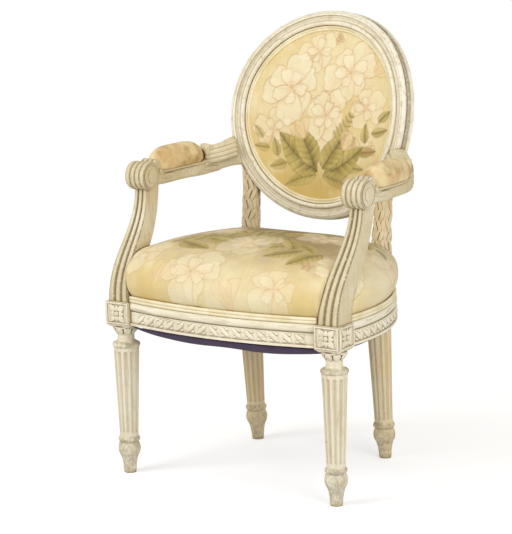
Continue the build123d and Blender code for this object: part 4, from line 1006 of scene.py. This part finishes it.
def seat_cords():
    """The double cord round the foot of the seat, in runs between the supports and the stiles."""
    radius = 3.25 * mm
    inset = 1.5 * mm + radius
    front_half, rear_half = 0.2205, 0.134
    front_turn = math.asin(front_half / front_radius)
    front_from, front_to = -math.pi / 2 - front_turn, -math.pi / 2 + front_turn
    side_from, side_to = side_first + 0.008, side_last - 0.13
    rear_y = rear_leg_y + 0.024 - inset
    runs = []
    for row in range(2):
        height = rail_top + 0.4 * mm + radius * (1 + 2 * row) * 0.98
        runs.append(arc_line(front_centre, front_radius - inset, front_from, front_to, height))
        for mirror in (-1, 1):
            runs.append(arc_line(side_centre, side_radius - inset, side_from, side_to, height, mirror))
        runs.append([(x, rear_y, height) for x in np.linspace(-rear_half, rear_half, 54)])
    pieces = [cord_tube(line, radius, 10, False, "cord") for line in runs]
    return joined(pieces, "seat_double_cord")


def ring_cord(inset, level, radius, name):
    """A closed cord round the frame's inner edge."""
    line = [ring_place(angle, inset, level) for angle in np.linspace(0, 2 * math.pi, 281)[:-1]]
    return cord_tube(line, radius, 10, True, name)


def back_cords():
    """The double cord inside the round frame."""
    pieces = [ring_cord(inset, -3.6 * mm, 2.75 * mm, "cord") for inset in (34.2 * mm, 39.4 * mm)]
    return joined(pieces, "back_double_cord")


def rear_cord():
    """The single cord round the cloth on the rear of the back."""
    return ring_cord(37.6 * mm, -30.6 * mm, 2.5 * mm, "rear_cord")


def grown_cloth(name, rows, columns, place):
    """A sheet of cloth from a grid of places."""
    clear_selection()
    bpy.ops.mesh.primitive_grid_add(x_subdivisions=columns, y_subdivisions=rows, size=2)
    piece = bpy.context.object
    piece.name = name
    flat = get_points(piece)
    set_points(piece, np.array([place(u, v) for u, v in flat[:, :2]]))
    half_cloth = 0.19
    keep_place(piece, flat[:, 0] * half_cloth, flat[:, 1] * half_cloth)
    return piece


def rear_cloth():
    """The plain cloth stretched over the rear of the back."""

    def place(u, v):
        """Square to round, then onto the hollow back."""
        x, y = rounded(u, v)
        swell = 2.2 * mm * (1 - min(1, x * x + y * y))
        return back_place(x * 177.5 * mm, y * 182 * mm, -28.6 * mm - swell)

    piece = grown_cloth("rear_cloth", 70, 70, place)
    wall = piece.modifiers.new("wall", "SOLIDIFY")
    wall.thickness = 1.2 * mm
    apply_modifiers(piece)
    outward(piece)
    smooth(piece)
    places = get_points(piece) - np.array(back_centre)
    up = places @ np.array(back_up) / mm
    flowers = Print(places[:, 0] / mm, up, 0.22 + 0 * up)
    keep_colour(piece, flowers.colour)
    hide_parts("outside_back")
    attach(piece, "root")
    return piece


def dust_cloth():
    """The dark cloth that sags under the rails."""
    front_edge, rear_edge, inset = -0.236, 0.135, 11 * mm
    hem, sag = 0.3095, 26 * mm
    front_cut, rear_cut = die_half + 2 * mm, 29 * mm

    def place(u, v):
        """Square to the plan of the rails, hanging in the middle."""
        share = (v + 1) / 2
        level = front_edge + share * (rear_edge - front_edge)
        half = side_centre.x + math.sqrt((side_radius - inset) ** 2 - (level - side_centre.y) ** 2)
        x = u * half
        front = front_centre.y - math.sqrt((front_radius - inset) ** 2 - x * x)
        y = front + share * (rear_edge - front)
        slack = (1 - abs(u) ** 6) * (1 - abs(v) ** 9)
        fold = math.sin(u * 9 + v * 2) * math.sin(v * 5 - u) * 1.6 * mm
        return x, y, hem - slack * (sag + fold)

    piece = grown_cloth("dust_cloth", 60, 80, place)
    take_up(piece)
    bpy.ops.object.mode_set(mode="EDIT")
    bpy.ops.mesh.select_all(action="DESELECT")
    bpy.ops.object.mode_set(mode="OBJECT")
    for face in piece.data.polygons:
        x, y = abs(face.center.x), face.center.y
        at_front = x > front_leg_x - front_cut and y < front_leg_y + front_cut
        at_rear = x > rear_leg_x - rear_cut and y > rear_leg_y - rear_cut
        face.select = at_front or at_rear
    bpy.ops.object.mode_set(mode="EDIT")
    bpy.ops.mesh.delete(type="FACE")
    bpy.ops.object.mode_set(mode="OBJECT")
    wall = piece.modifiers.new("wall", "SOLIDIFY")
    wall.thickness = 0.8 * mm
    apply_modifiers(piece)
    outward(piece)
    smooth(piece)
    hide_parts("dust_cover")
    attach(piece, "root")
    return piece


# Finishes


class Value:
    """An output of a node, on which sums can be written."""

    def __init__(self, owner, socket):
        self.owner, self.socket = owner, socket

    def sum(self, operation, first, second=0.0):
        """A Math node on values or numbers."""
        node = self.owner.node("ShaderNodeMath", {"operation": operation}, {0: first, 1: second})
        return self.owner.out(node)

    def __add__(self, other):
        return self.sum("ADD", self, other)

    def __radd__(self, other):
        return self.sum("ADD", other, self)

    def __sub__(self, other):
        return self.sum("SUBTRACT", self, other)

    def __rsub__(self, other):
        return self.sum("SUBTRACT", other, self)

    def __mul__(self, other):
        return self.sum("MULTIPLY", self, other)

    def __rmul__(self, other):
        return self.sum("MULTIPLY", other, self)

    def __truediv__(self, other):
        return self.sum("DIVIDE", self, other)

    def __rtruediv__(self, other):
        return self.sum("DIVIDE", other, self)

    def __pow__(self, other):
        return self.sum("POWER", self, other)

    def __rpow__(self, other):
        return self.sum("POWER", other, self)

    def __abs__(self):
        return self.sum("ABSOLUTE", self)

    def cosine(self):
        """The cosine of an angle."""
        return self.sum("COSINE", self)

    def angle_over(self, base):
        """The angle of a triangle with this height over a base."""
        return self.sum("ARCTAN2", self, base)


class Nodes:
    """The nodes of a finish or of the room's light."""

    def __init__(self, tree):
        self.tree = tree

    def node(self, kind, settings=None, sockets=None):
        """Add a node: its settings are set first, and then the values or links of its sockets."""
        node = self.tree.nodes.new(kind)
        for key, setting in (settings or {}).items():
            setattr(node, key, setting)
        for key, value in (sockets or {}).items():
            self.feed(self.socket(node, key), value)
        return node

    def out(self, node, key=0):
        """An output of a node, by number or name."""
        return Value(self, node.outputs[key])

    def socket(self, node, key):
        """A node's input by number, identifier or name."""
        if isinstance(key, int):
            return node.inputs[key]
        for socket in node.inputs:
            if socket.identifier == key:
                return socket
        return node.inputs[key]

    def feed(self, socket, value):
        """Give a socket a value or a link."""
        if isinstance(value, Value):
            self.tree.links.new(value.socket, socket)
        elif isinstance(value, (tuple, list, np.ndarray, Vector)):
            value = tuple(float(number) for number in value)
            socket.default_value = value if len(socket.default_value) == len(value) else (*value, 1.0)
        else:
            socket.default_value = value


class Finish(Nodes):
    """A material made of nodes, for one of the chair's surfaces."""

    def __init__(self, name):
        self.material = bpy.data.materials.new(name)
        self.material.use_nodes = True
        super().__init__(self.material.node_tree)
        self.shader = self.tree.nodes["Principled BSDF"]
        self.object_place = self.out(self.node("ShaderNodeTexCoord"), "Object")

    def surface(self, **values):
        """Set the shader's sockets, named with _ for spaces."""
        for key, value in values.items():
            self.feed(self.shader.inputs[key.replace("_", " ")], value)

    def stretched(self, place, x, y, z):
        """Places drawn out along the axes."""
        return self.out(self.node("ShaderNodeMapping", None, {"Vector": place, "Scale": (x, y, z)}))

    def noise(self, place, scale, detail=3, roughness=0.55):
        """Uneven grain from 0 to 1."""
        sockets = {"Vector": place, "Scale": scale, "Detail": detail, "Roughness": roughness}
        return self.out(self.node("ShaderNodeTexNoise", None, sockets), "Fac")

    def waves(self, place, scale, direction, distortion=0.0):
        """Fine threads along one direction."""
        settings = {"wave_type": "BANDS", "bands_direction": direction}
        sockets = {"Vector": place, "Scale": scale, "Distortion": distortion, "Detail": 1.0}
        return self.out(self.node("ShaderNodeTexWave", settings, sockets), "Fac")

    def step(self, value, low, high):
        """0 below a low value and 1 above a high one, smoothly."""
        sockets = {"Value": value, "From Min": low, "From Max": high}
        return self.out(self.node("ShaderNodeMapRange", {"interpolation_type": "SMOOTHSTEP"}, sockets))

    def between(self, value, rise, fall):
        """1 from a rise to a fall and 0 outside them, where each is given by its two ends."""
        return self.step(value, *rise) * (1 - self.step(value, *fall))

    def mix(self, first, second, share, way="MIX"):
        """One colour over another, or times another."""
        sockets = {"Factor_Float": share, "A_Color": first, "B_Color": second}
        node = self.node("ShaderNodeMix", {"data_type": "RGBA", "blend_type": way}, sockets)
        for socket in node.outputs:
            if socket.identifier == "Result_Color":
                return Value(self, socket)

    def attribute(self, name, output):
        """A value kept on the piece's points."""
        return self.out(self.node("ShaderNodeAttribute", {"attribute_name": name}), output)

    def bump(self, height, distance, strength=1.0):
        """Relief from a height, in metres."""
        sockets = {"Height": height, "Distance": distance, "Strength": strength}
        self.surface(Normal=self.out(self.node("ShaderNodeBump", None, sockets)))

    def axes(self, place):
        """The three coordinates of a place."""
        node = self.node("ShaderNodeSeparateXYZ", None, {"Vector": place})
        return [self.out(node, name) for name in "XYZ"]

    def recess(self, distance):
        """How open a spot is, from 0 deep in a groove to 1 in the open."""
        settings, sockets = {"samples": 12}, {"Distance": distance}
        return self.out(self.node("ShaderNodeAmbientOcclusion", settings, sockets), "AO")


def painted_wood(name, tint, soil_and_shade, lines=None, aged_and_shaded=(197, 178, 136), grain=(1, 1, 0.06)):
    """Old cream paint on carved wood, streaked along the grain, with glaze and painted shade in recesses
    and worn feet.
    """
    paint = Finish(name)
    place = paint.object_place
    cream, ivory = linear(233, 225, 201), linear(243, 237, 218)
    brushed, weathered, dull = linear(214, 200, 168), linear(184, 166, 126), linear(204, 190, 158)
    recess_shade_tone, glaze_and_shade_tone, bare = linear(198, 180, 138), linear(134, 117, 88), linear(128, 108, 82)
    cloud = paint.noise(place, 9, 4)
    fine = paint.noise(place, 190, 4, 0.65)
    brush = paint.noise(paint.stretched(place, 1, 1, 0.1), 460, 2)
    streaks = paint.step(paint.noise(paint.stretched(place, *grain), 170, 3, 0.6), 0.5, 0.68)
    rubbed = paint.step(paint.noise(place, 26, 5, 0.72), 0.5, 0.72)
    colour = paint.mix(cream, ivory, paint.step(cloud, 0.36, 0.66))
    colour = paint.mix(colour, brushed, paint.step(brush, 0.52, 0.8) * 0.4)
    colour = paint.mix(colour, weathered, streaks * 0.42)
    colour = paint.mix(colour, dull, rubbed * 0.45)
    # a darker, warmer tone by tint: aged paint, and on the arms, supports, rear legs and stiles also
    # painted shade
    colour = paint.mix(colour, linear(*aged_and_shaded), paint.step(cloud + fine * 0.4, 0.3, 0.9) * tint)
    # painted shade: a broad, warm darkening in recesses and between parts, where shade falls; glaze in the
    # narrow grooves
    broad_recess_shade = 1 - paint.step(paint.recess(16 * mm) + (fine - 0.5) * 0.2, 0.5, 1.0)
    narrow = 1 - paint.step(paint.recess(5 * mm) + (fine - 0.5) * 0.3, 0.35, 0.92)
    colour = paint.mix(colour, recess_shade_tone, broad_recess_shade * 0.7 * soil_and_shade)
    colour = paint.mix(colour, glaze_and_shade_tone, narrow * soil_and_shade)
    if lines:
        colour = paint.mix(colour, glaze_and_shade_tone, lines(paint) * paint.step(fine, 0.25, 0.5))
    chips = paint.step(paint.noise(place, 105, 3, 0.6), 0.7, 0.75)
    colour = paint.mix(colour, bare, chips * 0.5)
    height = paint.axes(place)[2]
    low = 1 - paint.step(height + (cloud - 0.5) * 0.05, 0.02, 0.1)
    worn = low * paint.step(paint.noise(place, 95, 5, 0.75), 0.42, 0.68)
    colour = paint.mix(colour, bare, worn * 0.45)
    paint.surface(Base_Color=colour, Roughness=0.44 + fine * 0.2, Specular_IOR_Level=0.35)
    paint.bump(brush * 0.5 + fine + chips * -1.5, 0.2 * mm, 0.5)
    return paint.material


# Grooves of the round frame's face: how far inside its outer edge, half their width and the share of glaze
ring_grooves = ((5.5 * mm, 1.2 * mm, 0.35), (15.2 * mm, 1.4 * mm, 0.3), (10.4 * mm, 1.2 * mm, 0.35))


def ring_lines(paint):
    """Glaze left along the mouldings of the round frame, with painted shade and glaze in its side hollow,
    from 0 to 1.
    """
    sockets = {0: paint.object_place, 1: back_centre}
    moved = paint.node("ShaderNodeVectorMath", {"operation": "SUBTRACT"}, sockets)
    x, y, z = paint.axes(paint.out(moved))
    up = y * math.sin(back_rake) + z * math.cos(back_rake)
    behind = back_curve + y * math.cos(back_rake) - z * math.sin(back_rake)
    across = x.angle_over(behind) * (back_curve / back_half_width)
    high = up * (1 / back_half_height)
    mean_half = (back_half_width + back_half_height) / 2
    inset = (1 - (across * across + high * high) ** 0.5) * mean_half
    level = back_curve - (x * x + behind * behind) ** 0.5
    # painted shade with glaze in the side hollow of the frame
    shaded_hollow = paint.between(level, (-24 * mm, -20 * mm), (-10.5 * mm, -8 * mm))
    share = shaded_hollow * (1 - paint.step(inset, 1.5 * mm, 6 * mm))
    face = paint.step(level, -13 * mm, -9 * mm)
    for groove, half, strength in ring_grooves:
        away = inset - groove
        line = 1 - paint.step(away * away, 0.0, half * half)
        share = share + line * face * strength
    return share


def reed_lines(paint):
    """Glaze in the grooves and painted shade on the flanks of the supports' reeds, and glaze between the
    ribs of the scrolls, from 0 to 1.
    """
    reeds, ribs = 3, 4
    support_lean, support_width, support_taper = 0.0336, 0.047, 0.0756
    scroll_foot, scroll_rear = (0.571, 0.577), (-0.088, -0.08)
    facing = paint.out(paint.node("ShaderNodeNewGeometry"), "True Normal")
    x, y, z = paint.axes(paint.object_place)
    x = abs(x)
    aside, back = paint.axes(facing)[:2]
    rise = z - rail_top
    across = (x - front_leg_x - rise * support_lean) / (support_width - rise * support_taper)
    valleys = 0 - (across * (reeds * 2 * math.pi)).cosine()
    on_scroll = paint.step(z, *scroll_foot)
    on_front = paint.step(0 - back, 0.1, 0.35) * (1 - on_scroll)
    # painted shade with glaze: a broad darkening across each reed's flanks, wider than its grooves
    support = paint.step(valleys, -0.4, 0.75) * on_front * 0.88
    valleys = ((x - scroll_centre.x) * (ribs * math.pi / scroll_half)).cosine()
    rim = on_scroll * (1 - paint.step(y, *scroll_rear)) * (1 - paint.step(aside * aside, 0.2, 0.5))
    return support + paint.step(valleys, 0.1, 1.0) * rim * 0.85


def leg_lines(leg_x, leg_y, kick, shaft_top, depth):
    """Glaze in a leg's flutes, on its rings and on its foot, for a leg that leans back to the floor."""
    flutes = 12
    shaft_low = 0.083

    def lines(paint):
        """The share of glaze, from 0 to 1."""
        x, y, z = paint.axes(paint.object_place)
        angle = (y - leg_y - kick + z * (kick / die_low)).angle_over(abs(x) - leg_x)
        valleys = (angle * flutes).cosine()
        patch = paint.step(paint.noise(paint.object_place, 60, 4, 0.7), 0.36, 0.6)
        above = z - shaft_top
        shaft = paint.step(z, shaft_low, shaft_low + 9 * mm) * (1 - paint.step(above, -14 * mm, -6 * mm))
        collar = paint.between(above, (-2 * mm, 2 * mm), (10 * mm, 15 * mm))
        ankle = paint.between(z, (62 * mm, 66 * mm), (76 * mm, 80 * mm))
        foot = 1 - paint.step(z, 58 * mm, 64 * mm)
        rings = collar * 0.6 + ankle * 0.55 + foot * 0.3
        return paint.step(valleys, 0.1, 0.95) * shaft * depth + rings * patch

    return lines


def silk_weave(silk, place, slub_x, slub_y):
    """Give silk its ribs and sheen, and tell where threads cross and where slubs lie, from 0 to 1."""
    warp = silk.waves(place, 520, "X", 0.4)
    weft = silk.waves(place, 640, "Y", 0.6)
    slub = silk.step(silk.noise(silk.stretched(place, slub_x, slub_y, 1), 1.0, 3, 0.6), 0.5, 0.78)
    silk.surface(Sheen_Weight=0.1, Sheen_Roughness=0.4, Specular_IOR_Level=0.3)
    silk.bump(warp * 0.4 + weft * 0.4 + slub * 0.9, 0.2 * mm, 0.6)
    return warp * weft, slub


def printed_silk():
    """Pale gold silk with its printed flowers."""
    silk = Finish("printed_silk")
    place = silk.attribute("cloth_place", "Vector")
    crossings, slub = silk_weave(silk, place, 22, 320)
    cloud = silk.noise(place, 26, 3)
    clouded = silk.mix((0.93, 0.92, 0.9), (1.05, 1.05, 1.05), cloud)
    colour = silk.mix(silk.attribute("print", "Color"), clouded, 1.0, "MULTIPLY")
    colour = silk.mix(colour, linear(208, 176, 112), slub * 0.16)
    colour = silk.mix(colour, linear(250, 244, 222), crossings * 0.1)
    silk.surface(Base_Color=colour, Roughness=0.5 - slub * 0.1 + cloud * 0.1)
    return silk.material


def plain_silk(name, deep, light, blush):
    """Unprinted silk for the pads and cords, clouded between two golds."""
    silk = Finish(name)
    place = silk.attribute("cloth_place", "Vector")
    crossings, slub = silk_weave(silk, place, 260, 26)
    spot = silk.step(silk.noise(silk.object_place, 22, 3), 0.36, 0.62)
    flush = silk.step(silk.noise(silk.object_place, 31, 2), 0.44, 0.7)
    colour = silk.mix(deep, light, spot)
    colour = silk.mix(colour, blush, flush * 0.55)
    colour = silk.mix(colour, light, crossings * 0.15)
    silk.surface(Base_Color=colour, Roughness=0.52 - slub * 0.1)
    return silk.material


def dark_lining():
    """Thin, dark woven lining."""
    lining = Finish("dark_lining")
    place = lining.attribute("cloth_place", "Vector")
    threads = lining.waves(place, 400, "X") * lining.waves(place, 400, "Y")
    dust = lining.noise(lining.object_place, 30, 4)
    colour = lining.mix(linear(58, 44, 70), linear(92, 76, 106), dust)
    lining.surface(Base_Color=colour, Roughness=0.85)
    lining.bump(threads, 0.2 * mm, 0.6)
    return lining.material


def raw_wood():
    """Unpainted beech inside the frame."""
    wood = Finish("raw_beech")
    grain = wood.noise(wood.stretched(wood.object_place, 14, 14, 160), 1.0, 4, 0.6)
    flecks = wood.step(wood.noise(wood.object_place, 300, 2), 0.6, 0.72)
    colour = wood.mix(linear(198, 158, 110), linear(164, 122, 80), grain)
    wood.surface(Base_Color=wood.mix(colour, linear(120, 84, 54), flecks * 0.5), Roughness=0.7)
    wood.bump(grain, 0.3 * mm, 0.4)
    return wood.material


def plain_steel(name, colour):
    """Old drawn steel with a dull bloom."""
    steel = Finish(name)
    bloom = steel.noise(steel.object_place, 120, 4)
    steel.surface(Base_Color=steel.mix(colour, linear(92, 70, 54), steel.step(bloom, 0.55, 0.75)))
    steel.surface(Metallic=1 - steel.step(bloom, 0.6, 0.8) * 0.7, Roughness=0.38 + bloom * 0.3)
    return steel.material


def jute(name, scale, light, dark):
    """Coarse jute, woven over and under."""
    cloth = Finish(name)
    place = cloth.object_place
    threads = cloth.waves(place, scale, "X", 0.5) * 0.5 + cloth.waves(place, scale, "Y", 0.5) * 0.5
    tone = cloth.noise(place, 60, 3)
    cloth.surface(Base_Color=cloth.mix(dark, light, threads * 0.6 + tone * 0.4), Roughness=0.9)
    cloth.bump(threads, 0.6 * mm, 0.7)
    return cloth.material


# Dress the chair

front_lines = leg_lines(front_leg_x, front_leg_y, 0, front_shaft_top, 0.26)
rear_lines = leg_lines(rear_leg_x, rear_leg_y, rear_leg_kick, rear_shaft_top, 0.2)
cream_paint = painted_wood("cream_paint", 0.1, 0.85, front_lines)
rail_paint = painted_wood("rail_paint", 0.0, 0.55, grain=(0.12, 0.12, 1))
# arms and supports: a strong darker tone, aged paint together with painted shade
arm_paint = painted_wood("arm_paint", 0.75, 0.95, reed_lines, (196, 177, 124))
ring_paint = painted_wood("ring_paint", 0.0, 0.75, ring_lines, grain=(0.4, 1, 0.4))
# rear legs and stiles: a warmer, darker paint, painted shade for the shade they stand in behind the seat
shaded_rear_paint = painted_wood("shaded_rear_paint", 0.8, 0.9, rear_lines, (222, 195, 136))
printed = printed_silk()
cord_silk = plain_silk("cord_silk", linear(231, 217, 176), linear(243, 234, 204), linear(236, 220, 176))
pad_silk = plain_silk("pad_silk", linear(186, 150, 92), linear(235, 215, 164), linear(214, 170, 116))
finish_of_slot = {
    "painted_wood": cream_paint,
    "raw_wood": raw_wood(),
    "screw_steel": plain_steel("screw_steel", linear(150, 148, 142)),
    "spring_steel": plain_steel("spring_steel", linear(120, 116, 108)),
    "webbing": jute("jute_webbing", 260, linear(186, 158, 112), linear(120, 96, 62)),
    "hessian": jute("jute_hessian", 420, linear(190, 164, 118), linear(134, 108, 70)),
    "stuffing": jute("hair_stuffing", 700, linear(120, 98, 72), linear(60, 46, 34)),
    "cover": printed,
    "pad_cover": pad_silk,
    "trim": cord_silk,
    "dust_cloth": dark_lining(),
}
# The paint of a wooden piece, by its name without the last word
paint_of_piece = {
    "arm": arm_paint,
    "arm_support": arm_paint,
    "back_frame": ring_paint,
    "front": rail_paint,
    "side_rail": rail_paint,
    "rear_leg": shaded_rear_paint,
    "rear": shaded_rear_paint,
}
for subpart in frame["record"]["subparts"]:
    node = nodes[subpart["node"]]
    finish = finish_of_slot[subpart["material_slot"]]
    if finish is cream_paint:
        finish = paint_of_piece.get(subpart["node"].rsplit("_", 1)[0], cream_paint)
    if node.material_slots:
        for slot in node.material_slots:
            slot.material = finish
    else:
        node.data.materials.append(finish)


def wear(piece, finish):
    """Give a piece its only finish."""
    piece.data.materials.clear()
    piece.data.materials.append(finish)


carvings = [(carving, cream_paint) for carving in (rosettes(), neck_leaves(), foot_leaves())]
carvings += [(ribbon, rail_paint) for ribbon in rail_ribbons()]
carvings += [(stile_leaves(), shaded_rear_paint)]
carvings += [(carving, arm_paint) for carving in (scroll_discs(), arm_leaves(), arm_crests(), pad_beads())]
for carving, paint in carvings:
    wear(carving, paint)
    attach(carving, "root")

wear(seat_cushion(), printed)
wear(back_cushion(), printed)
for pad in arm_pads():
    wear(pad, pad_silk)
wear(rear_cloth(), printed)
wear(dust_cloth(), finish_of_slot["dust_cloth"])
trims = ((seat_cords(), "seat_gimp"), (back_cords(), "back_gimp"), (rear_cord(), "outside_back_gimp"))
for cords, node in trims:
    wear(cords, cord_silk)
    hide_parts(node)
    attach(cords, "root")


# Floor, light and camera


def pale_floor():
    """A plain pale floor that keeps the chair's soft shadow."""
    clear_selection()
    bpy.ops.mesh.primitive_plane_add(size=60)
    floor = bpy.context.object
    floor.name = "pale_floor"
    white = Finish("floor_white")
    white.surface(Base_Color=(0.78, 0.78, 0.78), Roughness=1.0, Specular_IOR_Level=0.0)
    seen = white.out(white.node("ShaderNodeLightPath"), "Is Camera Ray")
    east, north = white.axes(white.object_place)[:2]
    far = white.step(east * east + north * north, 0.5, 2.6)
    shadowed = white.out(white.shader)
    glow, bright = (
        white.out(white.node("ShaderNodeEmission", None, {"Color": (1.0, 1.0, 1.0), "Strength": strength}))
        for strength in (0.42, 1.0)
    )
    lifted = white.out(white.node("ShaderNodeAddShader", None, {0: shadowed, 1: glow}))
    near = white.out(white.node("ShaderNodeMixShader", None, {0: seen, 1: shadowed, 2: lifted}))
    whole = white.out(white.node("ShaderNodeMixShader", None, {0: far * seen, 1: near, 2: bright}))
    white.feed(white.tree.nodes["Material Output"].inputs["Surface"], whole)
    floor.data.materials.append(white.material)


lamp_white = (1.0, 0.985, 0.96)


def white_room():
    """Plain soft light from all round, seen as white."""
    room = bpy.data.worlds.new("white_room")
    scene.world = room
    room.use_nodes = True
    room.node_tree.nodes.clear()
    light = Nodes(room.node_tree)
    seen = light.out(light.node("ShaderNodeLightPath"), "Is Camera Ray")
    soft, white = (
        light.out(light.node("ShaderNodeBackground", None, {"Color": colour, "Strength": strength}))
        for colour, strength in ((lamp_white, 0.62), ((1.0, 1.0, 1.0), 1.0))
    )
    blend = light.out(light.node("ShaderNodeMixShader", None, {0: seen, 1: soft, 2: white}))
    light.node("ShaderNodeOutputWorld", None, {"Surface": blend})


def softbox(name, place, aim, size, watts):
    """A large square lamp turned towards a point."""
    lamp = bpy.data.lights.new(name, "AREA")
    lamp.size = size
    lamp.energy = watts
    lamp.color = lamp_white
    holder = bpy.data.objects.new(name, lamp)
    scene.collection.objects.link(holder)
    holder.location = place
    holder.rotation_euler = (Vector(aim) - Vector(place)).to_track_quat("-Z", "Y").to_euler()


def photo_camera():
    """A long lens at the photograph's viewing angle."""
    turn, height, roll = math.radians(33.11), math.radians(11.30), math.radians(-1.24)
    back = Vector(
        (math.sin(turn) * math.cos(height), -math.cos(turn) * math.cos(height), math.sin(height))
    )
    right = Vector((math.cos(turn), math.sin(turn), 0))
    up = back.cross(right)
    side = right * math.cos(roll) + up * math.sin(roll)
    top = up * math.cos(roll) - right * math.sin(roll)
    lens = bpy.data.cameras.new("photo_camera")
    lens.lens = 168.65
    lens.sensor_width = 36
    lens.clip_end = 60
    camera = bpy.data.objects.new("photo_camera", lens)
    scene.collection.objects.link(camera)
    stand = Matrix.Translation((2.6734, -4.1910, 1.4072))
    camera.matrix_world = stand @ Matrix((side, top, back)).transposed().to_4x4()
    scene.camera = camera


pale_floor()
white_room()
chair_middle = (0, 0, 0.45)
softbox("key_light", (-1.6, -2.6, 2.6), chair_middle, 1.8, 56)
softbox("fill_light", (2.8, -1.4, 1.6), chair_middle, 2.0, 40)
photo_camera()
scene.view_settings.view_transform = "Standard"
